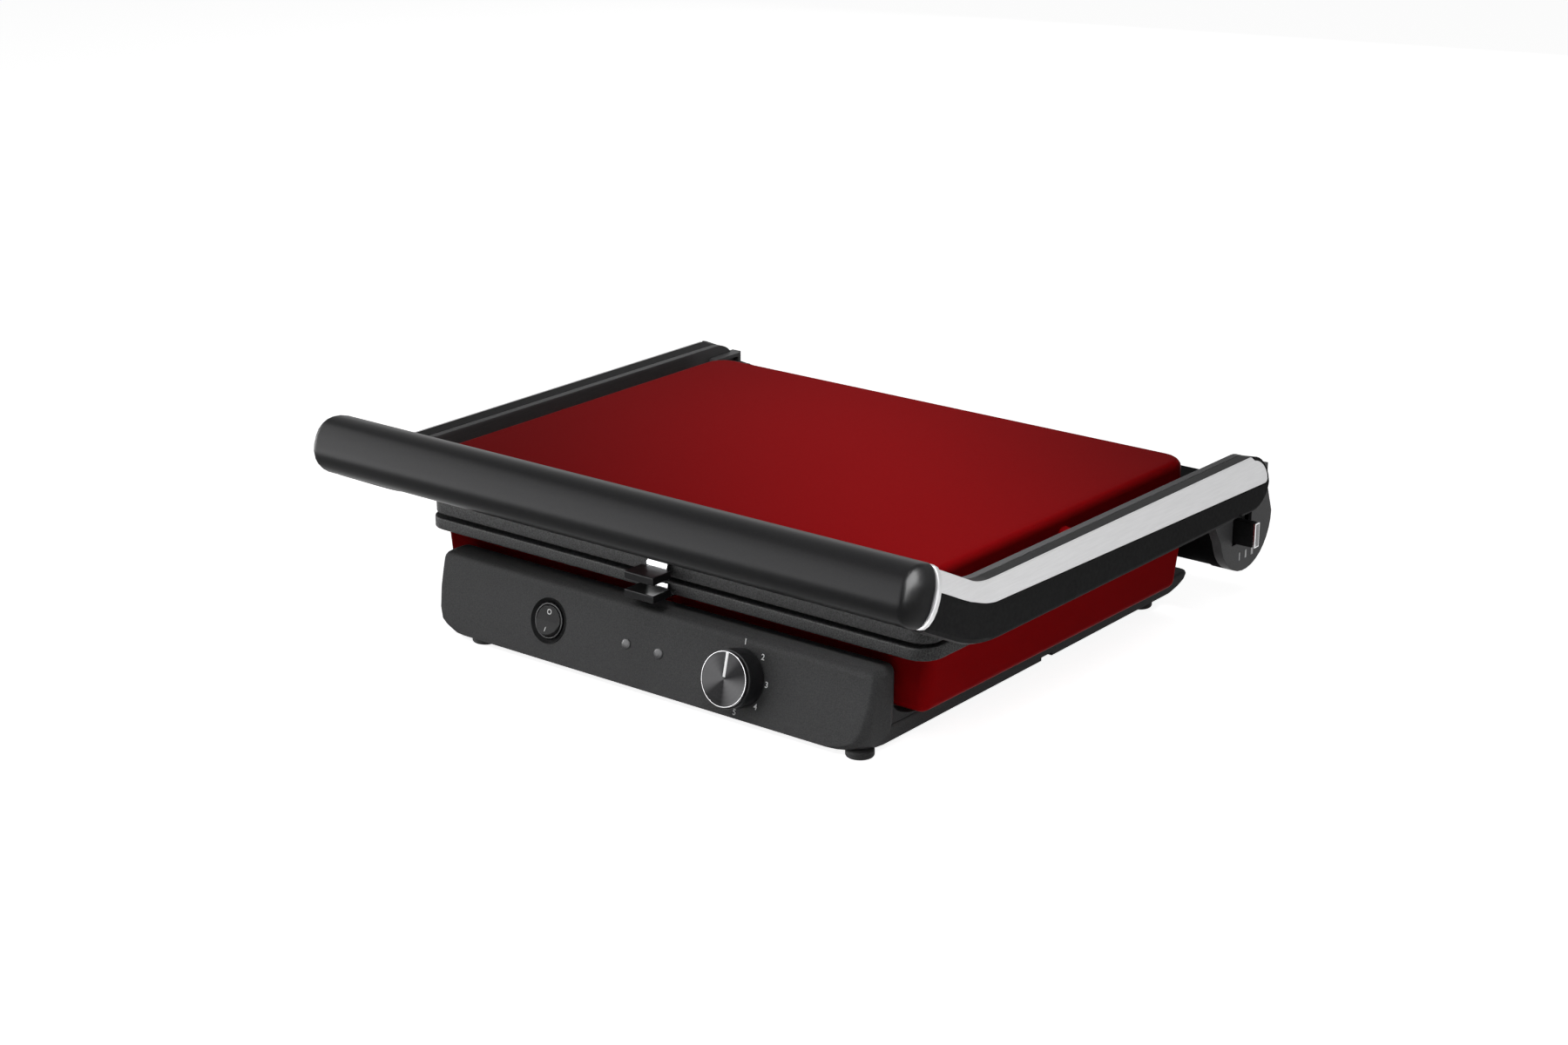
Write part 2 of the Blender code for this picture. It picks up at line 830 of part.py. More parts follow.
def make_cord_gland():
    # Local Z points out of the rear wall
    outer = gland_radius + gland_flange
    turned_ring("cord_gland", "matt_black", (
        (gland_bore, gland_flange_thickness),
        (outer, gland_flange_thickness),
        (outer, 0),
        (gland_radius, 0),
        (gland_radius, -gland_length),
        (gland_bore, -gland_length),
    ), (gland_x, base_rear, gland_z), -math.pi / 2)


# Lower housing, heater pan and heater

def cup(name, finish, outer, inner):
    # Outer rings run to the open rim, inner rings run back from it
    return loft(name, finish, [*outer, *inner])


def housing_half_at(z):
    return housing_half - housing_taper * (housing_top - z) / (housing_top - housing_bottom)


def make_housing():
    outer = []
    for back, drop in reversed(edge_levels(housing_edge)):
        z = housing_bottom + drop
        outer.append(box_ring(housing_half_at(z), housing_front, housing_rear, housing_corner, z, back))
    outer.append(box_ring(housing_half, housing_front, housing_rear, housing_corner, housing_top))
    floor = housing_bottom + wall
    inner = [
        box_ring(housing_half_at(z), housing_front, housing_rear, housing_corner, z, inset)
        for z, inset in ((housing_top, wall), (floor + housing_edge, wall), (floor, wall * 2))
    ]
    housing = cup("lower_housing", "red_enamel", outer, inner)
    notch = box(
        "lower_clip_notch", None,
        (-clip_notch_half, housing_front - overrun, housing_top - clip_notch_depth),
        (clip_notch_half, housing_front + wall + gap, housing_top + overrun),
    )
    cut(housing, notch)


def make_lower_pan():
    inset = wall + gap
    low = housing_top - pan_depth
    high = housing_top - gap
    outer = [
        box_ring(housing_half_at(z), housing_front, housing_rear, housing_corner, z, inset + back)
        for z, back in ((low, sheet * 2), (low + sheet * 2, 0.0), (high, 0.0))
    ]
    inner = [
        box_ring(housing_half_at(z), housing_front, housing_rear, housing_corner, z, inset + back)
        for z, back in ((high, sheet), (low + sheet * 2, sheet), (low + sheet, sheet * 2))
    ]
    cup("lower_heat_pan", "steel", outer, inner)


def heater_points(z):
    middle = (plate_front + plate_rear) / 2
    rear = middle + heater_half_y
    front = middle - heater_half_y
    corners = [
        Vector((-heater_leg_x, rear + heater_tail, z)),
        Vector((-heater_leg_x, rear - heater_bend, z)),
        Vector((-heater_half_x, rear - heater_bend, z)),
        Vector((-heater_half_x, front, z)),
        Vector((heater_half_x, front, z)),
        Vector((heater_half_x, rear - heater_bend, z)),
        Vector((heater_leg_x, rear - heater_bend, z)),
        Vector((heater_leg_x, rear + heater_tail, z)),
    ]
    points = [corners[0]]
    for before, corner, after in zip(corners, corners[1:], corners[2:]):
        arriving = (before - corner).normalized()
        leaving = (after - corner).normalized()
        centre = corner + (arriving + leaving) * heater_bend
        for step in range(arc_steps + 1):
            turn = math.radians(90.0) * step / arc_steps
            spoke = leaving * math.cos(turn) + arriving * math.sin(turn)
            points.append(centre - spoke * heater_bend)
    points.append(corners[-1])
    return points


def make_heater(name, z):
    curve = bpy.data.curves.new(name, "CURVE")
    curve.dimensions = "3D"
    curve.bevel_depth = heater_radius
    curve.bevel_resolution = 1
    curve.use_fill_caps = True
    points = heater_points(z)
    line = curve.splines.new("POLY")
    line.points.add(len(points) - 1)
    for slot, point in zip(line.points, points):
        slot.co = (*point, 1.0)
    curve.materials.append(materials["steel"])
    item = bpy.data.objects.new(name, curve)
    parts.objects.link(item)


# Plates with ribs

def plate_rings(inset, low, high):
    levels = edge_levels(plate_edge, steps=2)
    rings = [
        box_ring(plate_half, plate_front, plate_rear, plate_corner, low + drop, inset + back)
        for back, drop in reversed(levels)
    ]
    rings += [
        box_ring(plate_half, plate_front, plate_rear, plate_corner, high - drop, inset + back)
        for back, drop in levels
    ]
    return rings


def make_plate(name, inset, low, high, face, away):
    # The cooking face is at z = face, and the plate lies on the side that away points to
    plate = loft(name, "cast_plate", plate_rings(inset, low, high))
    rim = inset + plate_rim
    levels = sorted((face - away * overrun, face + away * rib_drop))
    recess = loft(f"{name}_recess", None, [
        box_ring(plate_half, plate_front, plate_rear, plate_corner, z, rim) for z in levels
    ])
    cut(plate, recess)
    start = -groove_pitch * (groove_count - 1) / 2
    levels = sorted((face - away * overrun, face + away * (rib_drop + groove_depth)))
    groove = box(
        f"{name}_grooves", None, (start - groove_width / 2, plate_front + rim + plate_edge, levels[0]),
        (start + groove_width / 2, plate_rear - rim - plate_edge, levels[1]),
    )
    row = groove.modifiers.new("row", "ARRAY")
    row.count = groove_count
    row.use_relative_offset = False
    row.use_constant_offset = True
    row.constant_offset_displace = (groove_pitch, 0, 0)
    cut(plate, groove)


# Lid, its pan and its pivots

def make_lid():
    inner = [
        box_ring(lid_half, lid_front, lid_rear, lid_corner, z, inset)
        for z, inset in (
            (lid_top - wall, wall + lid_edge / 2), (lid_top - wall - lid_edge / 2, wall), (lid_bottom, wall)
        )
    ]
    outer = [box_ring(lid_half, lid_front, lid_rear, lid_corner, lid_bottom)]
    for back, drop in edge_levels(lid_edge):
        outer.append(box_ring(lid_half, lid_front, lid_rear, lid_corner, lid_top - drop, back))
    lid = cup("lid_shell", "red_enamel", inner, outer)
    for side, name in ((-1, "left"), (1, "right")):
        foot = side * (lid_half - wall / 2)
        tip = side * lid_boss_end
        boss = rod_x(
            f"lid_boss_{name}", None, (lid_pivot_y, lid_pivot_z), lid_boss_radius, foot, tip,
            lid_boss_radius - gap * 3,
        )
        bore = rod_x(
            f"lid_bore_{name}", None, (lid_pivot_y, lid_pivot_z), lid_pin_radius + gap,
            side * (lid_half - wall * 2), tip + side * overrun,
        )
        join(lid, boss)
        cut(lid, bore)
    notch = box(
        "upper_clip_notch", None, (-clip_notch_half, lid_front - overrun, lid_bottom - overrun),
        (clip_notch_half, lid_front + wall + gap, lid_bottom + clip_notch_depth),
    )
    cut(lid, notch)
    set_origin(lid, (0, lid_pivot_y, lid_pivot_z))


def make_lid_pan():
    inset = wall + gap
    low = lid_bottom + gap
    high = lid_bottom + lid_pan_depth
    inner = [
        box_ring(lid_half, lid_front, lid_rear, lid_corner, z, inset + back)
        for z, back in ((high - sheet, sheet * 2), (high - sheet * 2, sheet), (low, sheet))
    ]
    outer = [
        box_ring(lid_half, lid_front, lid_rear, lid_corner, z, inset + back)
        for z, back in ((low, 0.0), (high - sheet * 2, 0.0), (high, sheet * 2))
    ]
    pan = cup("upper_heat_pan", "steel", inner, outer)
    bore = rod_x(
        "pan_bore", None, (lid_pivot_y, lid_pivot_z), lid_pin_radius + gap,
        -lid_half, lid_half,
    )
    cut(pan, bore)


def make_lid_pins():
    for side, name in ((-1, "left"), (1, "right")):
        head_out = lid_half - wall - gap - sheet - gap
        head_in = head_out - lid_pin_head_length
        tip = arm_inner_x + lid_pin_bite
        turned(f"lid_pivot_pin_{name}", "steel", (
            (0, tip), (lid_pin_radius, tip), (lid_pin_radius, head_out),
            (lid_pin_head_radius, head_out), (lid_pin_head_radius, head_in), (0, head_in),
        ), (0, lid_pivot_y, lid_pivot_z), 0.0).rotation_euler = (0, side * math.pi / 2, 0)


# Plate clips and their release tabs

def ribbon(points, thickness):
    # A strip of even thickness round a line of (y, z) points
    sides = ([], [])
    for index, point in enumerate(points):
        before = Vector(points[max(index - 1, 0)])
        after = Vector(points[min(index + 1, len(points) - 1)])
        along = (after - before).normalized()
        across = Vector((-along.y, along.x)) * thickness / 2
        sides[0].append(tuple(Vector(point) + across))
        sides[1].append(tuple(Vector(point) - across))
    return [*sides[0], *reversed(sides[1])]


def make_clip(kind, wall_front, wall_rear, root_z, rim_z, away):
    # away is -1 for the lower clip, whose root lies under its plate
    front = plate_front - clip_stand_off
    bend = clip_stand_off / 2
    line = (
        (wall_rear - gap, root_z),
        (front + clip_foot, root_z),
        (front + bend / 2, root_z - away * bend),
        (front, root_z - away * bend * 2),
        (front, (root_z + rim_z) / 2),
        (front + bend / 2, rim_z),
    )
    outline = ribbon(line, clip_sheet)
    strip = prism_x(f"{kind}_clip_strip", "steel", outline, -clip_half_width, clip_half_width)
    tab_low = root_z - away * tab_height / 2 if away < 0 else rim_z - clip_sheet
    seat = front - clip_sheet / 2 - gap
    nose = seat - tab_tongue - tab_length
    outline = (
        (nose, tab_low),
        (seat, tab_low),
        (seat, tab_low + tab_tongue_height),
        (seat - tab_tongue, tab_low + tab_height),
        (nose, tab_low + tab_height * (1 - tab_edge / tab_height)),
    )
    tab = prism_x(f"{kind}_release_tab", "matt_black", outline, -tab_half_width, tab_half_width)
    bevel(tab, tab_edge)
    pivot = (0, (wall_front + wall_rear) / 2, root_z)
    set_origin(strip, pivot)
    set_origin(tab, pivot)


# Arms

def arm_stations():
    # Centre point, direction across the arm and share of the front flare
    stations = []
    for share in rear_turn_shares:
        stations.append((Vector((pivot_y + arm_end_reach * share, arm_centre_z)), Vector((0, 1)), 0.0))
    stations.append((Vector(((pivot_y + arm_bend_start) / 2, arm_centre_z)), Vector((0, 1)), 0.0))
    centre = Vector((arm_bend_start, arm_centre_z + arm_bend_radius))
    reach = arm_bend_radius * arm_bend_angle + front_run()
    for step in range(arc_steps + 2):
        turn = arm_bend_angle * step / (arc_steps + 1)
        across = Vector((math.sin(turn), math.cos(turn)))
        stations.append((centre - across * arm_bend_radius, across, arm_bend_radius * turn / reach))
    return stations


def bend_end():
    return Vector((
        arm_bend_start - arm_bend_radius * arm_rise,
        arm_centre_z + arm_bend_radius * (1 - arm_run),
    ))


def front_run():
    # Distance from the end of the bend to the back of the trim
    back = handle_point(0, 0, -trim_thickness - gap)
    normal = Vector((-math.cos(handle_lean), math.sin(handle_lean)))
    along = Vector((-arm_run, arm_rise))
    return (Vector((back.y, back.z)) - bend_end()).dot(normal) / along.dot(normal)


def station_half(share):
    return math.sqrt(1 - share * share) * arm_half_height


def outer_x(rise, flare):
    share = rise / (2 * arm_half_height)
    plain = arm_outer_x - arm_lean_width * share
    front = arm_outer_front_x - arm_front_lean_width * share
    ease = flare * flare * (3 - 2 * flare)
    return plain + (front - plain) * ease


def arm_rings(side, section, stations, halves):
    rings = []
    for station, half in zip(stations, halves):
        centre, across, flare = station
        points = []
        for x, rise in section(station, half):
            place = centre + across * rise
            points.append(Vector((side * x, place.x, place.y)))
        rings.append(points)
    centre, across, flare = stations[-1]
    last = (centre, across, 1.0)
    rings.append([end_point(side * x, centre + across * rise) for x, rise in section(last, halves[-1])])
    return rings


def end_point(x, start):
    # The front end of the arm is cut along the back of the trim
    back = handle_point(0, 0, -trim_thickness - gap)
    normal = Vector((-math.cos(handle_lean), math.sin(handle_lean)))
    along = Vector((-arm_run, arm_rise))
    length = (Vector((back.y, back.z)) - start).dot(normal) / along.dot(normal)
    place = start + along * length
    return Vector((x, place.x, place.y))


def inlay_low(station):
    # Lower edge of the inlay, from the arm's centre line
    centre, across, flare = station
    if flare > 0:
        share = max(0.0, 1 - flare / inlay_taper_share)
        return arm_half_height - inlay_front_height - (inlay_bend_height - inlay_front_height) * share
    share = (centre.x - arm_bend_start) / (pivot_y - arm_bend_start)
    into_corner = max(0.0, inlay_corner - (pivot_y + arm_end_reach - inlay_rim - centre.x))
    rounding = inlay_corner - math.sqrt(max(0.0, inlay_corner ** 2 - into_corner ** 2))
    return arm_half_height - inlay_bend_height - (inlay_rear_height - inlay_bend_height) * share + rounding


def core_section(station, half):
    return (arm_inner_x, half), (core_outer_x, half), (core_outer_x, -half), (arm_inner_x, -half)


def shell_section(station, half):
    centre, across, flare = station
    edge = min(arm_lower_edge, half / 2)
    crown = arm_crown * half / arm_half_height
    top = outer_x(half, flare)
    low = outer_x(-half, flare)
    return (
        (shell_inner_x, half),
        (top - arm_top_edge, half + crown),
        (top, half + crown - arm_top_edge),
        (low, edge - half),
        (low - edge * arm_lower_share, edge * arm_lower_share - half),
        (low - edge, -half),
        (shell_inner_x, -half),
    )


def inlay_section(grow, depth, out):
    def section(station, tip):
        flare = station[2]
        floor = inlay_low(station) - grow
        roof = tip + grow
        if tip >= arm_half_height:
            roof += arm_crown + (overrun if grow > 0 else 0.0)
        return (
            (outer_x(roof, flare) - depth, roof),
            (outer_x(roof, flare) + out, roof),
            (outer_x(floor, flare) + out, floor),
            (outer_x(floor, flare) - depth, floor),
        )
    return section


def inlay_tip(share):
    # Upper edge of the inlay, which keeps a rim inside the arm's round end
    if share == 0:
        return arm_half_height
    along = arm_end_reach * share / (arm_end_reach - inlay_rim)
    return (arm_half_height - inlay_rim) * math.sqrt(1 - along * along)


def make_arm(side, name):
    stations = arm_stations()
    halves = [station_half(share) for share in rear_turn_shares]
    halves += [arm_half_height] * (len(stations) - len(halves))
    core = loft(f"arm_core_{name}", "satin_silver", arm_rings(side, core_section, stations, halves))
    shell = loft(f"arm_shell_{name}", "gloss_black", arm_rings(side, shell_section, stations, halves))
    picked = stations[1:]
    tips = [inlay_tip(share) for share in rear_turn_shares[1:]]
    tips += [arm_half_height] * (len(picked) - len(tips))
    rings = arm_rings(side, inlay_section(0.0, inlay_depth, 0.0), picked, tips)
    loft(f"arm_inlay_{name}", "satin_silver", rings)
    centre, across, flare = picked[0]
    picked[0] = (centre + Vector((gap, 0)), across, flare)
    pocket_rings = arm_rings(side, inlay_section(gap, inlay_depth + gap, overrun), picked, tips)
    forward = Vector((0, -arm_run, arm_rise)) * overrun
    pocket_rings[-1] = [point + forward for point in pocket_rings[-1]]
    hinge_bore = rod_x(
        f"hinge_bore_{name}", None, (pivot_y, pivot_z), hinge_pin_radius + gap,
        side * (arm_inner_x - overrun), side * (arm_inner_x + hinge_pin_bite + gap),
    )
    cut(shell, loft(f"inlay_pocket_{name}", None, pocket_rings), hinge_bore)
    lid_bore = rod_x(
        f"lid_pin_bore_{name}", None, (lid_pivot_y, lid_pivot_z), lid_pin_radius + gap,
        side * (arm_inner_x - overrun), side * (arm_inner_x + lid_pin_bite + gap),
    )
    cut(core, lid_bore, hinge_bore)
    if side > 0:
        cut(shell, rod_x(
            "arm_relief", None, (relief_y, arm_centre_z - arm_half_height - relief_drop), relief_radius,
            arm_outer_x - relief_depth, arm_outer_x + overrun,
        ))
    for item in (core, shell):
        set_origin(item, (0, pivot_y, pivot_z))


# Handle

def ease_out(share, power):
    return (1 - share ** power) ** (1 / power)


def handle_outline(half_length, half_height, end):
    points = []
    steps = round_steps // 2
    for side in (1, -1):
        for step in range(steps + 1):
            turn = side * (math.pi / 2 - math.pi * step / steps)
            x = abs(math.cos(turn)) ** (2 / trim_power)
            y = abs(math.sin(turn)) ** (2 / trim_power) * (1 if math.sin(turn) > 0 else -1)
            points.append((side * (half_length - end + end * x), half_height * y))
    return points


def make_trim():
    outline = handle_outline(trim_half_length, trim_half_height, handle_end)
    rings = [[handle_point(x, up, out) for x, up in outline] for out in (-trim_thickness, 0)]
    trim = loft("grip_trim", "satin_silver", rings)
    set_origin(trim, (0, pivot_y, pivot_z))


def grip_section(half, depth):
    points = []
    steps = round_steps * 2 // 3
    for step in range(steps + 1):
        turn = math.pi * step / steps
        up = abs(math.cos(turn)) ** (2 / grip_power) * (1 if math.cos(turn) >= 0 else -1)
        out = abs(math.sin(turn)) ** (2 / grip_power) if 0 < step < steps else 0.0
        points.append((half * up, gap + depth * out))
    return points


def make_grip():
    length = trim_half_length - grip_end_inset
    places = []
    for share in grip_end_shares:
        x = length - grip_depth_end * (1 - share)
        tall = max(0.0, (x - (length - handle_end)) / handle_end)
        places.append((
            x, grip_half_height * ease_out(tall, trim_power), grip_depth * ease_out(share, grip_power),
        ))
    places += [(-x, tall, deep) for x, tall, deep in reversed(places)]
    rings = [[handle_point(x, up, out) for up, out in grip_section(tall, deep)] for x, tall, deep in places]
    grip = loft("grip", "matt_black", rings)
    set_origin(grip, (0, pivot_y, pivot_z))


def make_handle_back():
    near = -trim_thickness - gap
    far = near - back_depth
    corners = (
        (back_half_height, near), (back_half_height, far + back_edge), (back_half_height - back_edge, far),
        (back_edge - back_half_height, far), (-back_half_height, far + back_edge), (-back_half_height, near),
    )
    half = arm_inner_x - gap
    rings = [[handle_point(x, up, out) for up, out in corners] for x in (-half, half)]
    back = loft("handle_back", "gloss_black", rings)
    for side, name in ((-1, "left"), (1, "right")):
        x = side * handle_screw_x
        seat = turned(f"handle_seat_{name}", None, (
            (0, overrun), (screw_head_radius + gap, overrun),
            (screw_head_radius + gap, -screw_head_height - gap),
            (0, -screw_head_height - gap),
        ), handle_point(x, 0, far), handle_tilt + math.pi)
        cut(back, seat)
        turned(f"handle_screw_{name}", "steel", (
            (0, 0), (screw_head_radius, 0), (screw_head_radius, -screw_head_height), (0, -screw_head_height),
        ), handle_point(x, 0, far), handle_tilt + math.pi)
    set_origin(back, (0, pivot_y, pivot_z))


# Hinge housing, covers and the lifting yoke

def shrink(outline, inset):
    # An outline of (y, z) points moved inwards by an even wall
    points = [Vector(point) for point in outline]
    kept = []
    for before, point, after in zip((points[-1], *points[:-1]), points, (*points[1:], points[0])):
        arriving = (point - before).normalized()
        leaving = (after - point).normalized()
        inward = Vector((-arriving.y, arriving.x)) + Vector((-leaving.y, leaving.x))
        kept.append(tuple(point + inward * inset / (1 + arriving.dot(leaving))))
    return kept


def tower_outline(top):
    # Runs anticlockwise from the front, under the hinge, up the rear and over the top
    points = []
    span = math.radians(360) - tower_turn
    steps = round_steps * 4 // 5
    for step in range(steps + 1):
        turn = tower_turn + span * step / steps
        points.append((hinge_y + hinge_radius * math.cos(turn), hinge_z + hinge_radius * math.sin(turn)))
    for across, up in (*rear_side_shares, *front_side_shares):
        points.append((hinge_y + hinge_radius * across, hinge_z + (top - hinge_z) * up))
    return points


def beam_outline(radius, top):
    points = []
    steps = round_steps * 2
    for step in range(steps):
        turn = math.tau * step / steps
        z = hinge_z + radius * math.sin(turn)
        points.append((hinge_y + radius * math.cos(turn), min(z, top)))
    kept = [points[0]]
    for before, point, after in zip(points, points[1:], (*points[2:], points[0])):
        level = before[1] == point[1] == after[1]
        if not level:
            kept.append(point)
    return kept


def make_hinge_housing():
    housing = prism_x(
        "hinge_housing", "gloss_black", beam_outline(beam_radius, beam_flat_top),
        -tower_outer_x + gap / 2, tower_outer_x - gap / 2,
    )
    for side, name in ((-1, "left"), (1, "right")):
        xs = sorted((side * tower_inner_x, side * tower_outer_x))
        join(housing, prism_x(f"tower_form_{name}", None, tower_outline(tower_top), *xs))
    beam_room = prism_x(
        "beam_hollow", None, beam_outline(beam_radius - wall, beam_flat_top - wall),
        -tower_outer_x - overrun, tower_outer_x + overrun,
    )
    cut(housing, beam_room)
    for side, name in ((-1, "left"), (1, "right")):
        xs = sorted((side * (tower_inner_x + wall), side * (tower_outer_x + overrun)))
        cut(housing, prism_x(f"tower_hollow_{name}", None, shrink(tower_outline(tower_top), wall), *xs))
        block_front = pivot_y - yoke_half_width - gap * 3
        block_rear = pivot_y + yoke_half_width + gap * 3
        cut(housing, box(
            f"block_slot_{name}", None, (xs[0], block_front, hinge_z + wall * 6),
            (xs[1], block_rear, tower_top + overrun),
        ))


def make_hinge_cover(side, name, has_lever):
    inner = side * (tower_outer_x + gap)
    outer = side * cover_outer_x
    xs = sorted((inner, outer))
    cover = prism_x(f"hinge_cover_{name}", "hinge_grey", tower_outline(cover_top), *xs)
    xs = sorted((inner - side * overrun, outer - side * cover_wall))
    cut(cover, prism_x(f"cover_hollow_{name}", None, shrink(tower_outline(cover_top), cover_wall), *xs))
    low = lug_top - lug_height
    forms = (
        (f"lug_form_{name}", lug_inner_x, low, lug_top),
        (f"lug_foot_{name}", cover_outer_x - cover_wall / 2, low + gap, low + lug_foot_height),
    )
    for form, start, floor, roof in forms:
        xs = sorted((side * start, side * (lug_outer_x - gap * (start < lug_inner_x))))
        join(cover, box(form, None, (xs[0], lug_front, floor), (xs[1], lug_front + lug_length, roof)))
    reach = hinge_pin_radius + gap * 2
    xs = sorted((inner, outer + side * overrun))
    slot = box(
        f"pin_slot_{name}", None, (xs[0], pivot_y - reach, pivot_z - reach),
        (xs[1], pivot_y + reach, pivot_z + lift_travel + reach),
    )
    cut(cover, slot)
    if has_lever:
        half = lever_thickness / 2
        lever_slot = box(
            "lever_slot", None,
            (xs[0], lever_y - half - lever_slot_lead, lever_z - lever_height / 2 - gap * 2),
            (xs[1], lever_y + lever_travel + half + gap * 2, lever_z + lever_height / 2 + gap * 2),
        )
        cut(cover, lever_slot)


def wedge_level(y):
    return wedge_top + lift_slope * (lever_y - y)


def make_yoke():
    top = pivot_z + hinge_pin_radius + yoke_top_wall
    front = pivot_y - yoke_half_width
    rear = pivot_y + yoke_half_width
    shoulder = pivot_z - yoke_shoulder_drop
    outline = (
        (front, top), (front, shoulder), (yoke_foot_front, pivot_z - yoke_heel_drop),
        (yoke_foot_front, wedge_level(yoke_foot_front) + gap),
        (yoke_foot_rear, wedge_level(yoke_foot_rear) + gap),
        (yoke_foot_rear, pivot_z - yoke_drop), (rear, shoulder), (rear, top),
    )
    yoke = prism_x("lift_yoke", "steel", outline, yoke_inner_x, yoke_outer_x)
    twin = prism_x("yoke_left_form", None, outline, -yoke_outer_x, -yoke_inner_x)
    bar = rod_x(
        "yoke_bar_form", None, (yoke_bar_y, yoke_bar_z), yoke_bar_radius, -yoke_inner_x - sheet,
        yoke_inner_x + sheet, steps=round_steps // 2,
    )
    join(yoke, bar, twin)
    bore = rod_x(
        "yoke_bore", None, (pivot_y, pivot_z), hinge_pin_radius + gap, -cover_outer_x, cover_outer_x
    )
    cut(yoke, bore)
    for side, name in ((-1, "left"), (1, "right")):
        rod_x(
            f"hinge_pin_{name}", "steel", (pivot_y, pivot_z), hinge_pin_radius,
            side * hinge_pin_inner_x, side * (arm_inner_x + hinge_pin_bite),
        )


def make_lever():
    half = lever_thickness / 2
    low = lever_z - lever_height / 2
    outline = (
        (wedge_front, low), (wedge_rear, low), (wedge_rear, wedge_level(wedge_rear)),
        (wedge_front, wedge_level(wedge_front)),
    )
    lever = prism_x("height_lever", "gloss_black", outline, yoke_inner_x + gap, yoke_outer_x - gap)
    blade = box(
        "blade_form", None, (yoke_outer_x - wall, lever_y - half, low),
        (lever_outer_x, lever_y + half, low + lever_height),
    )
    join(lever, blade)
    cap = box(
        "lever_cap", "chrome", (lever_outer_x + gap, lever_y - half, low),
        (lever_outer_x + gap + lever_cap_thickness, lever_y + half, low + lever_height),
    )
    bevel(cap, gap)
    recess = box(
        "lever_cap_recess", None,
        (lever_outer_x + gap + lever_cap_thickness - lever_cap_recess, lever_y - half + lever_cap_rim,
         low + lever_cap_rim),
        (lever_outer_x + overrun, lever_y + half - lever_cap_rim, low + lever_height - lever_cap_rim),
    )
    cut(cap, recess)


# Panel fittings

def make_dial():
    place = panel_point(dial_x, dial_up)
    bore = shaft_radius + gap
    face_low = dial_height - dial_face_thickness
    ring_low = dial_height - dial_ring_height
    ring_in = dial_face_radius - dial_ring_width
    turned_ring("dial_body", "matt_black", (
        (bore, face_low - gap),
        (ring_in - gap, face_low - gap),
        (ring_in - gap, ring_low - gap),
        (dial_face_radius, ring_low - gap),
        (dial_radius, dial_skirt),
        (dial_radius, gap * 2),
        (bore, gap * 2),
    ), place, panel_tilt)
    turned_ring("dial_ring", "chrome", (
        (ring_in, dial_height),
        (dial_face_radius - gap * 2, dial_height),
        (dial_face_radius, dial_height - gap * 2),
        (dial_face_radius, ring_low),
        (ring_in, ring_low),
    ), place, panel_tilt)
    turned("dial_face", "satin_silver", (
        (0, dial_height), (ring_in - gap, dial_height), (ring_in - gap, face_low), (0, face_low),
    ), place, panel_tilt)
    turned("dial_shaft", "steel", (
        (0, face_low - gap), (shaft_radius, face_low - gap), (shaft_radius, shaft_end), (0, shaft_end),
    ), place, panel_tilt, steps=round_steps // 2)


def make_thermostat():
    front = -wall - gap
    rear = front - thermostat_depth
    bore = shaft_radius + gap
    turned("thermostat_body", "white_plastic", (
        (0, shaft_end - gap),
        (bore, shaft_end - gap),
        (bore, 0),
        (thermostat_neck_radius, 0),
        (thermostat_neck_radius, front),
        (thermostat_radius, front),
        (thermostat_radius, rear),
        (0, rear),
    ), panel_point(dial_x, dial_up), panel_tilt)


def make_lamps():
    for name, x in (("indicator_lamp_left", lamp_left_x), ("indicator_lamp_right", lamp_right_x)):
        dome = [
            (lamp_radius * math.sin(turn), lamp_radius * math.cos(turn))
            for turn in (math.radians(angle) for angle in (0, 22, 45, 68, 90))
        ]
        turned(name, "lamp_plastic", (
            *dome, (lamp_radius, -wall - gap), (lamp_body_radius, -wall - gap),
            (lamp_body_radius, -wall - gap - lamp_body_length), (0, -wall - gap - lamp_body_length),
        ), panel_point(x, lamp_up), panel_tilt, steps=round_steps // 2)


def make_switch():
    place = panel_point(switch_x, switch_up)
    collar_low = -wall - gap
    turned("switch_body", "matt_black", (
        (0, -switch_depth + wall),
        (switch_bore, -switch_depth + wall),
        (switch_bore, 0),
        (switch_radius, 0),
        (switch_radius, collar_low),
        (switch_radius + switch_collar, collar_low),
        (switch_radius + switch_collar, collar_low - switch_collar_length),
        (switch_radius, collar_low - switch_collar_length),
        (switch_radius, -switch_depth),
        (0, -switch_depth),
    ), place, panel_tilt)
    bm = bmesh.new()
    bmesh.ops.create_uvsphere(bm, u_segments=round_steps, v_segments=round_steps // 2, radius=rocker_radius)
    rocker = finish_bmesh("switch_rocker", "matt_black", bm)
    rocker.location = panel_point(switch_x, switch_up, -rocker_pivot_depth)
    rocker.rotation_euler = (panel_tilt, 0, 0)
    reach = rocker_radius + wall
    valley = rocker_pivot_depth + rocker_valley
    rise = math.tan(rocker_angle) * reach
    outline = (
        (-reach, -rocker_half_depth), (reach, -rocker_half_depth), (reach, valley), (0, valley),
        (-reach, valley + rise),
    )
    form = prism_x("rocker_form", None, outline, -reach, reach)
    form.location = rocker.location
    form.rotation_euler = rocker.rotation_euler
    combine(rocker, form, "INTERSECT")


def make_terminal_block():
    low = base_bottom + cover_thickness + gap
    rear = console_rear - wall - gap
    block = box(
        "terminal_block", "white_plastic", (terminal_x - terminal_length, rear - terminal_width, low),
        (terminal_x, rear, low + terminal_height),
    )
    bevel(block, gap * 2)


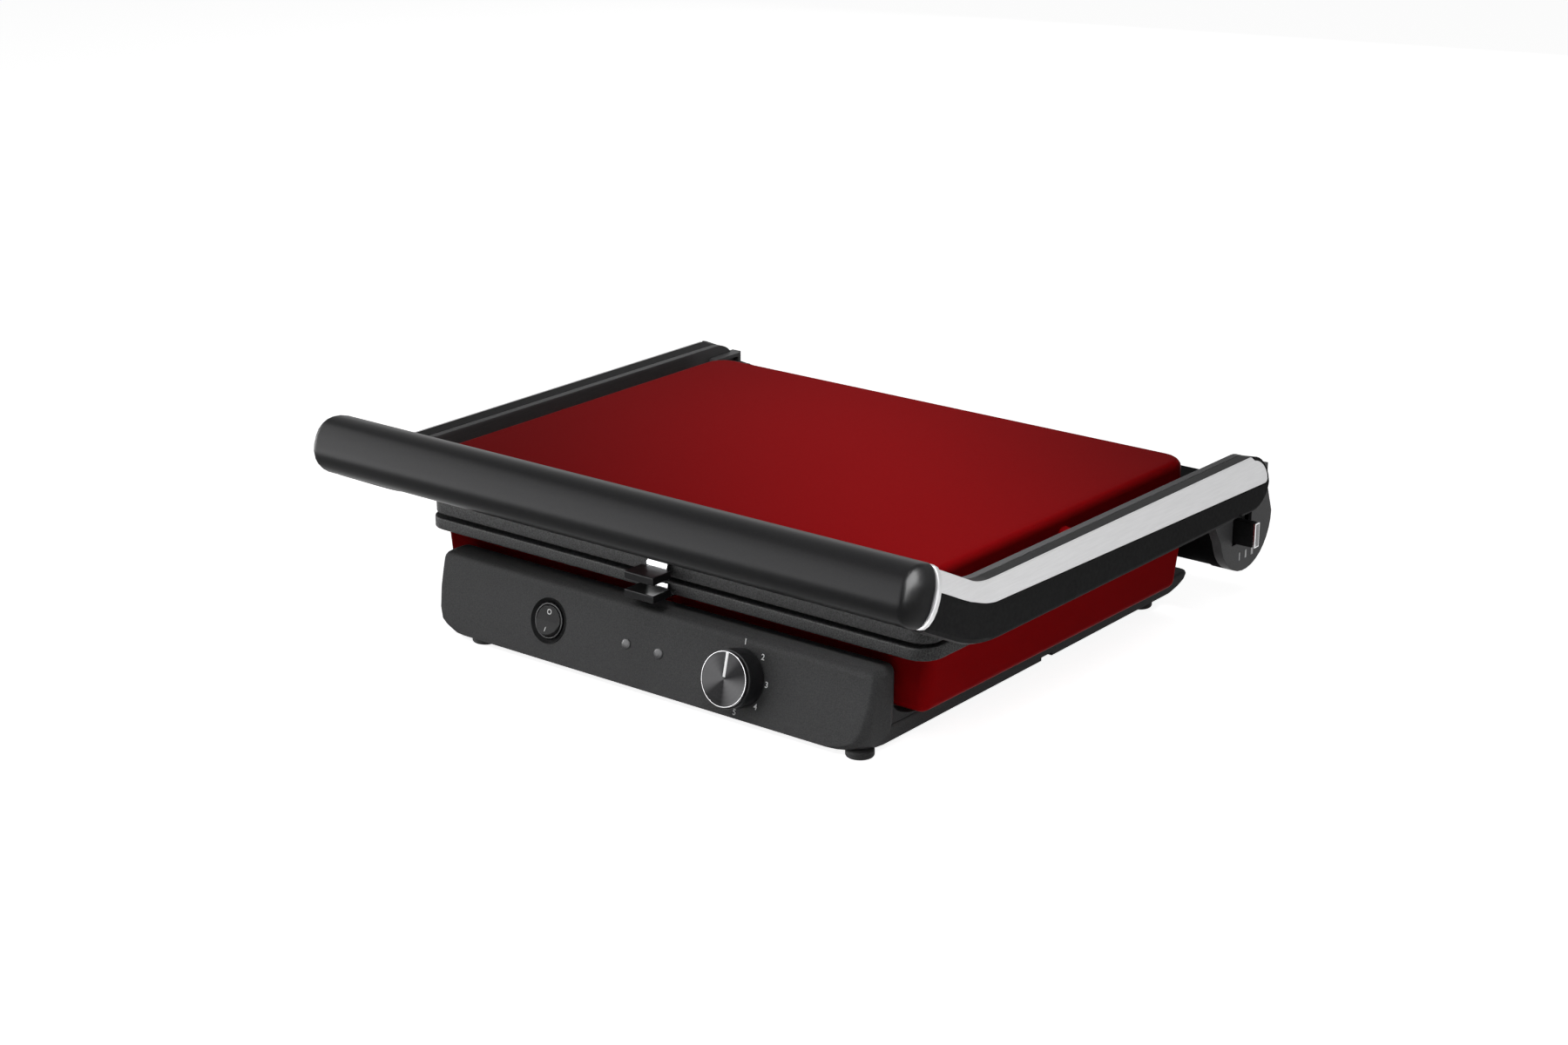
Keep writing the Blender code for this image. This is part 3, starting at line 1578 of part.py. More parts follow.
make_base()
make_bottom_cover()
make_feet()
make_cover_screws()
make_cord_gland()
make_housing()
make_lower_pan()
make_heater("lower_heater", lower_plate_bottom - gap - heater_radius)
make_heater("upper_heater", upper_plate_top + gap + heater_radius)
make_plate("lower_plate", 0.0, lower_plate_bottom, lower_plate_top, lower_plate_top, -1)
make_plate("upper_plate", upper_plate_inset, upper_plate_bottom, upper_plate_top, upper_plate_bottom, 1)
make_lid()
make_lid_pan()
make_lid_pins()
make_clip(
    "lower", housing_front, housing_front + wall, lower_plate_bottom - clip_sheet * 2,
    lower_plate_top - clip_sheet, -1,
)
make_clip(
    "upper", lid_front, lid_front + wall, upper_plate_top + clip_sheet * 3 / 2,
    upper_plate_bottom + clip_sheet * 3 / 2, 1,
)
for arm_side, arm_name in ((-1, "left"), (1, "right")):
    make_arm(arm_side, arm_name)
make_trim()
make_grip()
make_handle_back()
make_hinge_housing()
make_hinge_cover(-1, "left", False)
make_hinge_cover(1, "right", True)
make_yoke()
make_lever()
make_dial()
make_thermostat()
make_lamps()
make_switch()
make_terminal_block()
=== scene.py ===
# Sandwich maker with a floating lid: finishes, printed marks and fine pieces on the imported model
import json
import math

import bmesh
import bpy
from mathutils import Matrix, Vector


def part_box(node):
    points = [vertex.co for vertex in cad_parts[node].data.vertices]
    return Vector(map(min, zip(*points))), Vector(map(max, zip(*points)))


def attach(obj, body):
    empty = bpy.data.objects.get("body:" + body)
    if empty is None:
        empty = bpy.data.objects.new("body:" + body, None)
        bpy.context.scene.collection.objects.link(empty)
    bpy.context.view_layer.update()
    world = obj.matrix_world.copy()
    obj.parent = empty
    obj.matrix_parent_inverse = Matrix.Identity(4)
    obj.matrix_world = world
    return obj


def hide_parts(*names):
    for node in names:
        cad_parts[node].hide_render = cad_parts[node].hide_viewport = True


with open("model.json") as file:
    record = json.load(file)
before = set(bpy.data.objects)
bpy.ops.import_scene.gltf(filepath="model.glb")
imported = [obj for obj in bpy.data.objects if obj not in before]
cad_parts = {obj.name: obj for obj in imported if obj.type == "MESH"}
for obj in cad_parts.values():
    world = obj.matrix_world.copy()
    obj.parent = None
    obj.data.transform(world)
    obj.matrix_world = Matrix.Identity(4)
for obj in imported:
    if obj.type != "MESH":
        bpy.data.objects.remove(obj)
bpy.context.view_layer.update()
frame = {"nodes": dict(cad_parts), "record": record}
record = frame["record"]
bodyOf = {node: body for body, nodes in record["behaviour"]["bodies"].items() for node in nodes}
slotOf = {entry["node"]: entry["material_slot"] for entry in record["subparts"]}
joints = {joint["name"]: joint for joint in record["behaviour"]["joints"]}
print("frame loaded:", len(frame["nodes"]), "nodes")


# Materials

def newMaterial(name, look):
    material = bpy.data.materials.new(name)
    material.use_nodes = True
    shader = material.node_tree.nodes["Principled BSDF"]
    shader.inputs["Base Color"].default_value = (*look["colour"], 1.0)
    shader.inputs["Roughness"].default_value = look["roughness"]
    shader.inputs["Metallic"].default_value = look.get("metallic", 0.0)
    shader.inputs["Specular IOR Level"].default_value = look.get("specular", 0.5)
    shader.inputs["Anisotropic"].default_value = look.get("anisotropic", 0.0)
    return material, shader


def addNode(material, kind, **values):
    node = material.node_tree.nodes.new(kind)
    for key, value in values.items():
        setattr(node, key, value)
    return node


def link(material, source, target):
    material.node_tree.links.new(source, target)


def place(material, stretch=(1, 1, 1), centre=(0, 0, 0), turn=(0, 0, 0)):
    # Object coordinates, centred and turned on the piece
    coordinates = addNode(material, "ShaderNodeTexCoord")
    mapping = addNode(material, "ShaderNodeMapping", vector_type="TEXTURE")
    mapping.inputs["Location"].default_value = centre
    mapping.inputs["Rotation"].default_value = turn
    mapping.inputs["Scale"].default_value = [1 / value for value in stretch]
    link(material, coordinates.outputs["Object"], mapping.inputs["Vector"])
    return mapping.outputs["Vector"]


def noise(material, vector, scale, detail=3.0):
    texture = addNode(material, "ShaderNodeTexNoise")
    texture.inputs["Scale"].default_value = scale
    texture.inputs["Detail"].default_value = detail
    link(material, vector, texture.inputs["Vector"])
    return texture.outputs["Fac"]


def spread(material, value, low, high, fromLow=0.35, fromHigh=0.65):
    ramp = addNode(material, "ShaderNodeMapRange")
    ramp.inputs["From Min"].default_value = fromLow
    ramp.inputs["From Max"].default_value = fromHigh
    ramp.inputs["To Min"].default_value = low
    ramp.inputs["To Max"].default_value = high
    link(material, value, ramp.inputs["Value"])
    return ramp.outputs["Result"]


def blendColours(material, factor, first, second):
    mix = addNode(material, "ShaderNodeMix", data_type="RGBA")
    mix.inputs["A"].default_value = (*first, 1.0)
    mix.inputs["B"].default_value = (*second, 1.0)
    link(material, factor, mix.inputs["Factor"])
    return mix.outputs["Result"]


def bump(material, height, strength, distance):
    node = addNode(material, "ShaderNodeBump")
    node.inputs["Strength"].default_value = strength
    node.inputs["Distance"].default_value = distance
    link(material, height, node.inputs["Height"])
    return node.outputs["Normal"]


driftSettings = {"scale": 18.0, "detail": 2.0, "from": (0.2, 0.8)}


def grainedMaterial(name, look):
    # A moulded or cast surface: fine grain in height and colour, with a slow drift in the gloss
    material, shader = newMaterial(name, look)
    vector = place(material, look.get("stretch", (1, 1, 1)))
    grain = noise(material, vector, look["grain"], look.get("detail", 3.0))
    drift = noise(material, place(material), driftSettings["scale"], driftSettings["detail"])
    factor = spread(material, grain, 0.0, 1.0)
    colour = blendColours(material, factor, look["colour"], look["fleck"])
    link(material, colour, shader.inputs["Base Color"])
    low = look["roughness"] - look["glossDrift"]
    high = look["roughness"] + look["glossDrift"]
    rough = spread(material, drift, low, high, *driftSettings["from"])
    link(material, rough, shader.inputs["Roughness"])
    normal = bump(material, grain, look["relief"], look["reliefDepth"])
    link(material, normal, shader.inputs["Normal"])
    return material


finishes = {
    "charcoal_plastic": {
        "colour": (0.044, 0.044, 0.045), "fleck": (0.060, 0.060, 0.061), "roughness": 0.50,
        "specular": 0.015, "grain": 1500.0, "glossDrift": 0.03, "relief": 0.35,
        "reliefDepth": 0.00012,
    },
    "gloss_black": {
        "colour": (0.016, 0.016, 0.0165), "fleck": (0.020, 0.020, 0.0205), "roughness": 0.30,
        "specular": 0.008, "grain": 500.0, "glossDrift": 0.04, "relief": 0.03,
        "reliefDepth": 0.00005,
    },
    "matt_black": {
        "colour": (0.012, 0.012, 0.013), "fleck": (0.016, 0.016, 0.017), "roughness": 0.28,
        "specular": 0.06, "grain": 1800.0, "glossDrift": 0.02, "relief": 0.06,
        "reliefDepth": 0.00006,
    },
    "satin_black": {
        "colour": (0.010, 0.010, 0.0105), "fleck": (0.012, 0.012, 0.0125), "roughness": 0.31,
        "specular": 0.030, "grain": 1800.0, "glossDrift": 0.01, "relief": 0.02,
        "reliefDepth": 0.00004,
    },
    "beam_black": {
        "colour": (0.007, 0.007, 0.0072), "fleck": (0.010, 0.010, 0.0102), "roughness": 0.45,
        "specular": 0.001, "grain": 1600.0, "glossDrift": 0.03, "relief": 0.10,
        "reliefDepth": 0.00008,
    },
    "inset_steel": {
        "colour": (0.15, 0.15, 0.153), "fleck": (0.18, 0.18, 0.183), "roughness": 0.34,
        "metallic": 1.0, "grain": 700.0, "stretch": (3, 3, 0.2), "glossDrift": 0.02,
        "relief": 0.04, "reliefDepth": 0.00004,
    },
    "rocker_black": {
        "colour": (0.036, 0.036, 0.0365), "fleck": (0.044, 0.044, 0.0445), "roughness": 0.40,
        "specular": 0.012, "grain": 1800.0, "glossDrift": 0.02, "relief": 0.08,
        "reliefDepth": 0.00006,
    },
    "ring_steel": {
        "colour": (0.16, 0.16, 0.163), "fleck": (0.19, 0.19, 0.193), "roughness": 0.16,
        "metallic": 1.0, "grain": 400.0, "glossDrift": 0.02, "relief": 0.01,
        "reliefDepth": 0.00003,
    },
    "hinge_grey": {
        "colour": (0.055, 0.055, 0.056), "fleck": (0.068, 0.068, 0.070), "roughness": 0.45,
        "specular": 0.10, "grain": 1500.0, "glossDrift": 0.03, "relief": 0.20,
        "reliefDepth": 0.00010,
    },
    "red_enamel": {
        "colour": (0.216, 0.0028, 0.0040), "fleck": (0.226, 0.0034, 0.0047), "roughness": 0.30,
        "specular": 0.001, "grain": 900.0, "glossDrift": 0.008, "relief": 0.01,
        "reliefDepth": 0.00002,
    },
    "cast_plate": {
        "colour": (0.022, 0.022, 0.022), "fleck": (0.075, 0.075, 0.076), "roughness": 0.55,
        "specular": 0.06, "grain": 1300.0, "detail": 5.0, "glossDrift": 0.05, "relief": 0.45,
        "reliefDepth": 0.00015,
    },
    "satin_silver": {
        "colour": (0.49, 0.49, 0.495), "fleck": (0.52, 0.52, 0.525), "roughness": 0.42,
        "metallic": 1.0, "grain": 260.0, "stretch": (4, 0.25, 4), "glossDrift": 0.02,
        "relief": 0.015, "reliefDepth": 0.00003,
    },
    "chrome": {
        "colour": (0.66, 0.66, 0.67), "fleck": (0.70, 0.70, 0.71), "roughness": 0.14,
        "metallic": 1.0, "grain": 400.0, "glossDrift": 0.02, "relief": 0.01,
        "reliefDepth": 0.00003,
    },
    "steel": {
        "colour": (0.42, 0.42, 0.43), "fleck": (0.52, 0.52, 0.53), "roughness": 0.26,
        "metallic": 1.0, "grain": 300.0, "stretch": (0.1, 3, 3), "glossDrift": 0.04,
        "relief": 0.05, "reliefDepth": 0.00004,
    },
    "rubber": {
        "colour": (0.018, 0.018, 0.018), "fleck": (0.026, 0.026, 0.026), "roughness": 0.75,
        "specular": 0.10, "grain": 1600.0, "glossDrift": 0.05, "relief": 0.25,
        "reliefDepth": 0.00012,
    },
    "lamp_plastic": {
        "colour": (0.056, 0.056, 0.058), "fleck": (0.066, 0.066, 0.068), "roughness": 0.34,
        "specular": 0.10, "grain": 900.0, "glossDrift": 0.04, "relief": 0.10,
        "reliefDepth": 0.00006,
    },
    "white_plastic": {
        "colour": (0.62, 0.61, 0.58), "fleck": (0.68, 0.67, 0.64), "roughness": 0.50,
        "specular": 0.20, "grain": 1200.0, "glossDrift": 0.04, "relief": 0.15,
        "reliefDepth": 0.00010,
    },
    "print_white": {
        "colour": (0.80, 0.80, 0.80), "fleck": (0.88, 0.88, 0.88), "roughness": 0.55,
        "specular": 0.10, "grain": 2400.0, "glossDrift": 0.03, "relief": 0.05,
        "reliefDepth": 0.00004,
    },
    "pointer_white": {
        "colour": (0.84, 0.84, 0.84), "fleck": (0.90, 0.90, 0.90), "roughness": 0.40,
        "specular": 0.20, "grain": 1800.0, "glossDrift": 0.03, "relief": 0.05,
        "reliefDepth": 0.00004,
    },
    # Arm cores: the grey is raised to give the light edge along the core tops, partly the core's
    # own grey and partly painted highlight
    "core_grey_and_highlight": {
        "colour": (0.100, 0.100, 0.102), "fleck": (0.116, 0.116, 0.118), "roughness": 0.36,
        "specular": 0.010, "grain": 700.0, "stretch": (4, 0.10, 4), "glossDrift": 0.03,
        "relief": 0.06, "reliefDepth": 0.00005,
    },
}
materials = {name: grainedMaterial(name, look) for name, look in finishes.items()}

# The dial face: dark spun metal, with a lighter colour laid in soft spokes as a painted highlight
spunLook = {
    "colour": (0.0016, 0.0016, 0.0017), "paintedHighlight": (0.018, 0.018, 0.0184), "roughness": 0.36,
    "metallic": 1.0, "anisotropic": 0.60, "relief": 0.25, "reliefDepth": 0.00004,
    "ringScale": 130.0, "ringWander": 0.6, "ringDetail": 2.0,
    "paintedHighlightSpokes": ((2.0, 0.9, 0.55), (3.0, 2.3, 0.30), (5.0, 0.4, 0.15)),  # count, phase, weight
    "paintedHighlightRange": (-0.5, 1.0),
}


def spunMaterial(look, centre, turn):
    # Turned metal: fine rings round the dial's axis, and a painted highlight in its colour,
    # lighter in soft spokes by angle round the axis
    material, shader = newMaterial("spun_metal", look)
    vector = place(material, (1, 1, 1), centre, turn)
    rings = addNode(material, "ShaderNodeTexWave", wave_type="RINGS", rings_direction="Z")
    rings.inputs["Scale"].default_value = look["ringScale"]
    rings.inputs["Distortion"].default_value = look["ringWander"]
    rings.inputs["Detail"].default_value = look["ringDetail"]
    link(material, vector, rings.inputs["Vector"])
    normal = bump(material, rings.outputs["Fac"], look["relief"], look["reliefDepth"])
    link(material, normal, shader.inputs["Normal"])
    tangent = addNode(material, "ShaderNodeTangent", direction_type="UV_MAP", uv_map="round")
    link(material, tangent.outputs["Tangent"], shader.inputs["Tangent"])
    layer = addNode(material, "ShaderNodeUVMap", uv_map="round")
    split = addNode(material, "ShaderNodeSeparateXYZ")
    link(material, layer.outputs["UV"], split.inputs["Vector"])
    # Painted highlight: the sum of these waves makes the colour lighter in wedges round the axis
    total = None
    for count, phase, weight in look["paintedHighlightSpokes"]:
        angle = addNode(material, "ShaderNodeMath", operation="MULTIPLY_ADD")
        angle.inputs[1].default_value = count * math.tau
        angle.inputs[2].default_value = phase
        link(material, split.outputs["X"], angle.inputs[0])
        wave = addNode(material, "ShaderNodeMath", operation="COSINE")
        link(material, angle.outputs["Value"], wave.inputs[0])
        part = addNode(material, "ShaderNodeMath", operation="MULTIPLY_ADD")
        part.inputs[1].default_value = weight
        link(material, wave.outputs["Value"], part.inputs[0])
        if total is None:
            part.inputs[2].default_value = 0.0
        else:
            link(material, total, part.inputs[2])
        total = part.outputs["Value"]
    factor = spread(material, total, 0.0, 1.0, *look["paintedHighlightRange"])
    colour = blendColours(material, factor, look["colour"], look["paintedHighlight"])
    link(material, colour, shader.inputs["Base Color"])
    return material


print("materials ready:", len(materials))


# Pieces

def addObject(name, data):
    item = bpy.data.objects.new(name, data)
    bpy.context.scene.collection.objects.link(item)
    return item


def toMesh(name, bm):
    mesh = bpy.data.meshes.new(name)
    bm.to_mesh(mesh)
    bm.free()
    return mesh


def newPiece(name, bm, finish, body, smoothAngle=35.0, replaced=()):
    # The slot is the finish's own name unless another one is given
    mesh = toMesh(name, bm)
    piece = addObject(name, mesh)
    mesh.materials.clear()
    mesh.materials.append(materials[finish] if isinstance(finish, str) else finish)
    mesh.shade_smooth()
    mesh.set_sharp_from_angle(angle=math.radians(smoothAngle))
    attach(piece, body)
    if replaced:
        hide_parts(*replaced)
    return piece


def addBevel(piece, width, segments=3, angle=38.0):
    change = piece.modifiers.new("edge", "BEVEL")
    change.width = width
    change.segments = segments
    change.limit_method = "ANGLE"
    change.angle_limit = math.radians(angle)
    change.use_clamp_overlap = True


def evenShading(piece):
    # Normals that follow the larger faces, with sharp edges kept
    change = piece.modifiers.new("shading", "WEIGHTED_NORMAL")
    change.keep_sharp = True
    change.weight = 80


refineSettings = {
    "mergeDistance": 0.00002,
    "flatAngle": 0.4,
    "bevels": {
        "arm_core_left": 0.0003, "arm_core_right": 0.0003,
        "arm_inlay_left": 0.0003, "arm_inlay_right": 0.0003,
        "arm_shell_left": 0.0005, "arm_shell_right": 0.0005,
        "base_shell": 0.0005, "bottom_cover": 0.0003, "grip": 0.0, "grip_trim": 0.0005,
        "handle_back": 0.0004, "height_lever": 0.0005, "lever_cap": 0.0003,
        "hinge_cover_left": 0.0008, "hinge_cover_right": 0.0008, "hinge_housing": 0.0006,
        "lid_shell": 0.0004, "lower_housing": 0.0004, "lower_plate": 0.0004, "upper_plate": 0.0004,
        "lower_clip_strip": 0.00015, "upper_clip_strip": 0.00015,
        "switch_body": 0.0002, "switch_rocker": 0.0004, "terminal_block": 0.0,
        "lift_yoke": 0.0003, "cord_gland": 0.0004, "thermostat_body": 0.0003,
        "lower_heat_pan": 0.0, "upper_heat_pan": 0.0, "lower_heater": 0.0, "upper_heater": 0.0,
    },
    "otherFinish": {
        # The arm cores take the grey that carries a painted highlight along their tops
        "arm_core_left": "core_grey_and_highlight", "arm_core_right": "core_grey_and_highlight", "grip": "satin_black",
        "switch_rocker": "rocker_black", "hinge_housing": "beam_black",
    },
}


def refine(node, settings):
    # A merged copy of a node, with soft edges and even shading
    mesh = frame["nodes"][node].data.copy()
    bm = bmesh.new()
    bm.from_mesh(mesh)
    bmesh.ops.remove_doubles(bm, verts=bm.verts, dist=settings["mergeDistance"])
    bmesh.ops.dissolve_limit(
        bm, angle_limit=math.radians(settings["flatAngle"]), verts=bm.verts, edges=bm.edges,
    )
    finish = settings["otherFinish"].get(node, slotOf[node])
    piece = newPiece(node + "_fine", bm, finish, bodyOf[node], replaced=(node,))
    width = settings["bevels"][node]
    if width > 0:
        addBevel(piece, width)
    evenShading(piece)
    return piece


finePieces = {node: refine(node, refineSettings) for node in refineSettings["bevels"]}
print("fine copies ready:", len(finePieces))


turnedWeld = 0.000002


def turnedPiece(name, profile, finish, body, centre, axis, steps=96, replaced=()):
    # A profile of (radius, height) points spun round an axis through centre
    bm = bmesh.new()
    verts = [bm.verts.new((radius, 0, height)) for radius, height in profile]
    edges = [bm.edges.new(pair) for pair in zip(verts, verts[1:])]
    bmesh.ops.spin(
        bm, geom=verts + edges, cent=(0, 0, 0), axis=(0, 0, 1), angle=math.tau, steps=steps,
        use_merge=True, use_duplicate=False,
    )
    bmesh.ops.remove_doubles(bm, verts=bm.verts, dist=turnedWeld)
    bmesh.ops.recalc_face_normals(bm, faces=bm.faces)
    turn = Vector((0, 0, 1)).rotation_difference(Vector(axis)).to_matrix().to_4x4()
    bm.transform(Matrix.Translation(centre) @ turn)
    return newPiece(name, bm, finish, body, replaced=replaced)


def boxMesh(size, matrix):
    bm = bmesh.new()
    bmesh.ops.create_cube(bm, size=1.0)
    bm.transform(matrix @ Matrix.Diagonal((*size, 1.0)))
    return bm


def arcPoints(centre, radius, start, end, steps):
    # Points from one angle to another, in degrees
    x, y = centre
    turns = [math.radians(start + (end - start) * step / steps) for step in range(steps + 1)]
    return [(x + radius * math.cos(turn), y + radius * math.sin(turn)) for turn in turns]


panelNormal = -Vector(joints["dial_turn"]["axis"]).normalized()
panelUp = Vector((0, panelNormal.z, -panelNormal.y))
dialCentre = Vector(joints["dial_turn"]["pos_m"])
rockerPivotDepth = 0.001
switchCentre = Vector(joints["switch_rock"]["pos_m"]) + panelNormal * rockerPivotDepth


def onPanel(x, up, out):
    # A place by distance from the dial's centre, up the panel and out of it
    return dialCentre + Vector((x, 0, 0)) + panelUp * up + panelNormal * out


def panelMatrix(origin, tilt=0.0):
    side = Vector((1, 0, 0))
    turn = Matrix((side, panelUp, panelNormal)).transposed().to_4x4()
    return Matrix.Translation(origin) @ turn @ Matrix.Rotation(tilt, 4, "X")


# Dial

dialSettings = {
    "radius": 0.0150, "faceRadius": 0.0141, "height": 0.0144, "skirt": 0.0006, "edge": 0.0006,
    "shoulderShare": 1.2, "ringWidth": 0.0005, "ringDepth": 0.0022, "faceDrop": 0.0003,
    "pointerLength": 0.0125, "pointerWidth": 0.0016, "pointerHeight": 0.0002,
    "pointerBevelShare": 0.6, "middle": 0.00001,
}


def makeDial(settings):
    top = settings["height"]
    low = top - settings["ringDepth"]
    edge = settings["edge"]
    radius = settings["radius"]
    face = settings["faceRadius"]
    inner = face - settings["ringWidth"]
    shoulder = low - edge * settings["shoulderShare"]
    foot = settings["skirt"] + edge
    body = [
        (0, low), (inner, low), (face, low),
        *arcPoints((radius - edge, shoulder), edge, 80, 0, 4),
        (radius, foot), *arcPoints((radius - edge, foot), edge, 0, -90, 4), (0, settings["skirt"]),
    ]
    turnedPiece(
        "dial_body_fine", body, "matt_black", "dial", dialCentre, panelNormal,
        replaced=("dial_body",),
    )
    ring = [
        (inner, low), (inner, top - edge / 2),
        *arcPoints((inner + edge / 3, top - edge / 3), edge / 3, 180, 90, 3),
        *arcPoints((face - edge / 2, top - edge / 2), edge / 2, 90, 0, 4), (face, low),
    ]
    turnedPiece(
        "dial_ring_fine", ring, "ring_steel", "dial", dialCentre, panelNormal,
        replaced=("dial_ring",),
    )
    level = top - settings["faceDrop"]
    metal = spunMaterial(spunLook, dialCentre, panelMatrix(Vector((0, 0, 0))).to_euler())
    disc = [(0.0, level), (inner / 2, level), (inner, level), (inner, low), (0.0, low)]
    piece = turnedPiece(
        "dial_face_fine", disc, metal, "dial", dialCentre, panelNormal,
        replaced=("dial_face",),
    )
    addRoundUv(piece, settings)
    makePointer(settings, level)


def addRoundUv(piece, settings):
    # One map that runs round the dial's axis, for the direction of the turned finish and the angle
    # of the painted highlight spokes
    layer = piece.data.uv_layers.new(name="round")
    for polygon in piece.data.polygons:
        middle = polygon.center - dialCentre
        base = math.atan2(middle.dot(panelUp), middle.x)
        for loop in polygon.loop_indices:
            arm = piece.data.vertices[piece.data.loops[loop].vertex_index].co - dialCentre
            flat = Vector((arm.x, arm.dot(panelUp)))
            turn = math.atan2(flat.y, flat.x) if flat.length > settings["middle"] else base
            while turn - base > math.pi:
                turn -= math.tau
            while turn - base < -math.pi:
                turn += math.tau
            layer.data[loop].uv = (turn / math.tau, flat.length / settings["radius"])


def makePointer(settings, level):
    # A raised white line from the rim towards the middle, at the first number
    height = settings["pointerHeight"]
    rim = settings["faceRadius"] - settings["ringWidth"]
    middle = onPanel(0, rim - settings["pointerLength"] / 2, level)
    size = (settings["pointerWidth"], settings["pointerLength"], height * 2)
    bm = boxMesh(size, panelMatrix(middle))
    piece = newPiece("dial_pointer", bm, "pointer_white", "dial")
    addBevel(piece, height * settings["pointerBevelShare"], 2)


makeDial(dialSettings)
print("dial ready")


# Printed marks

printSettings = {
    "size": 0.0043, "thickness": 0.00006, "clearance": 0.00004, "bolder": 0.00005,
    "weld": 0.000001,
    "numbers": (  # text, place across the panel, place up it
        ("1", -0.0006, 0.0181), ("2", 0.0114, 0.0129), ("3", 0.0161, -0.0001),
        ("4", 0.0113, -0.0123), ("5", -0.0010, -0.0180),
    ),
}


def printedMark(name, text, size, matrix, body):
    curve = bpy.data.curves.new(name, "FONT")
    curve.body = text
    curve.size = size
    curve.align_x = "CENTER"
    curve.align_y = "CENTER"
    curve.extrude = printSettings["thickness"] / 2
    curve.offset = printSettings["bolder"]
    holder = addObject(name + "_text", curve)
    bpy.context.view_layer.update()
    finished = holder.evaluated_get(bpy.context.evaluated_depsgraph_get())
    mesh = bpy.data.meshes.new_from_object(finished)
    bpy.data.objects.remove(holder, do_unlink=True)
    bm = bmesh.new()
    bm.from_mesh(mesh)
    bmesh.ops.remove_doubles(bm, verts=bm.verts, dist=printSettings["weld"])
    bm.transform(matrix)
    newPiece(name, bm, "print_white", body)


def makePrints(settings):
    out = settings["thickness"] / 2 + settings["clearance"]
    for text, x, up in settings["numbers"]:
        matrix = panelMatrix(onPanel(x, up, out))
        printedMark(f"number_{text}", text, settings["size"], matrix, "base")


makePrints(printSettings)

rockerSettings = {
    "faceOut": 0.0002, "tilt": 20.0, "markReach": 0.0046, "onSize": 0.0034, "offSize": 0.0040,
}


def makeRockerMarks(settings):
    # At rest the upper half lies along the panel and the lower half leans out of it
    reach = settings["markReach"]
    tilt = math.radians(settings["tilt"])
    out = settings["faceOut"] + printSettings["clearance"] + printSettings["thickness"] / 2
    upper = switchCentre + panelUp * reach + panelNormal * out
    printedMark("mark_off", "O", settings["offSize"], panelMatrix(upper), "rocker")
    lower = switchCentre - panelUp * reach + panelNormal * (out + math.tan(tilt) * reach)
    printedMark("mark_on", "I", settings["onSize"], panelMatrix(lower, -tilt), "rocker")


makeRockerMarks(rockerSettings)
print("printed marks ready")


# Painted shade: a dark ring laid in the recess round the switch

recessShadeSettings = {
    "outer": 0.0122, "inner": 0.0098, "drop": 0.00125, "thickness": 0.00030, "lift": 0.00006,
    "lip": 0.0005, "lipRise": 0.0001, "steps": 72,
}


def makeRecessShade(settings):
    outer, inner, lift = settings["outer"], settings["inner"], settings["lift"]
    low = -settings["drop"]
    lip = settings["lip"] / 2
    seat = (inner, low + settings["thickness"])
    crest = (outer - lip, lift + settings["lipRise"])
    profile = [seat, (inner, low + lift), (outer, lift), *arcPoints(crest, lip, 0, 150, 5), seat]
    # A dark gloss ring that stands in for the shade in the recess
    turnedPiece(
        "switch_liner", profile, "gloss_black", "base", switchCentre, panelNormal,
        settings["steps"],
    )


makeRecessShade(recessShadeSettings)


# Darker inset in the lever's bright cap

insetSettings = {"margin": 0.0009, "thickness": 0.00008, "edge": 0.00006}


def makeInset(settings):
    low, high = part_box("lever_cap")
    thickness = settings["thickness"]
    trim = settings["margin"] * 2
    size = (thickness, high[1] - low[1] - trim, high[2] - low[2] - trim)
    x = high[0] + thickness / 2 + settings["edge"]
    middle = (x, (low[1] + high[1]) / 2, (low[2] + high[2]) / 2)
    bm = boxMesh(size, Matrix.Translation(middle))
    piece = newPiece("lever_cap_inset", bm, "inset_steel", bodyOf["lever_cap"])
    addBevel(piece, settings["edge"] / 2, 2)


makeInset(insetSettings)


# Release tabs

tabSettings = {
    "halfWidth": 0.0098, "height": 0.0043, "rise": {"upper": 0.0006, "lower": -0.0002},
    "edge": 0.0006, "slotShare": 0.36, "slotDepth": 0.0008,
}


def makeTabs(settings):
    # Thick blocks over the CAD tabs, from the same seat, with a slot let into the lower one
    height = settings["height"]
    for kind, rise in settings["rise"].items():
        node = f"{kind}_release_tab"
        low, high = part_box(node)
        depth = high[1] - low[1]
        middle = (0, (low[1] + high[1]) / 2, low[2] + height / 2 + rise)
        size = (settings["halfWidth"] * 2, depth, height)
        bm = boxMesh(size, Matrix.Translation(middle))
        if kind == "lower":
            top = max(bm.faces, key=lambda face: face.calc_center_median().z)
            inset = depth * settings["slotShare"]
            bmesh.ops.inset_region(bm, faces=[top], thickness=inset, depth=0)
            bmesh.ops.translate(bm, verts=list(top.verts), vec=(0, 0, -settings["slotDepth"]))
        piece = newPiece(node + "_block", bm, "matt_black", bodyOf[node], replaced=(node,))
        addBevel(piece, settings["edge"])
        evenShading(piece)


makeTabs(tabSettings)
print("liner and tabs ready")


# Hinge marks, three bars that grow with the lift

hingeMarkSettings = {
    "places": ((0.1502, 0.0008), (0.1570, 0.0014), (0.1638, 0.0022)),  # place along Y, width
    "low": 0.0300, "high": 0.0345, "thickness": 0.0001, "outer": 0.1775,
}


def makeHingeMarks(settings):
    x = settings["outer"] + settings["thickness"] / 2
    z = (settings["high"] + settings["low"]) / 2
    height = settings["high"] - settings["low"]
    for index, (y, width) in enumerate(settings["places"]):
        bm = boxMesh((settings["thickness"], width, height), Matrix.Translation((x, y, z)))
        newPiece(f"hinge_mark_{index + 1}", bm, "print_white", "base")


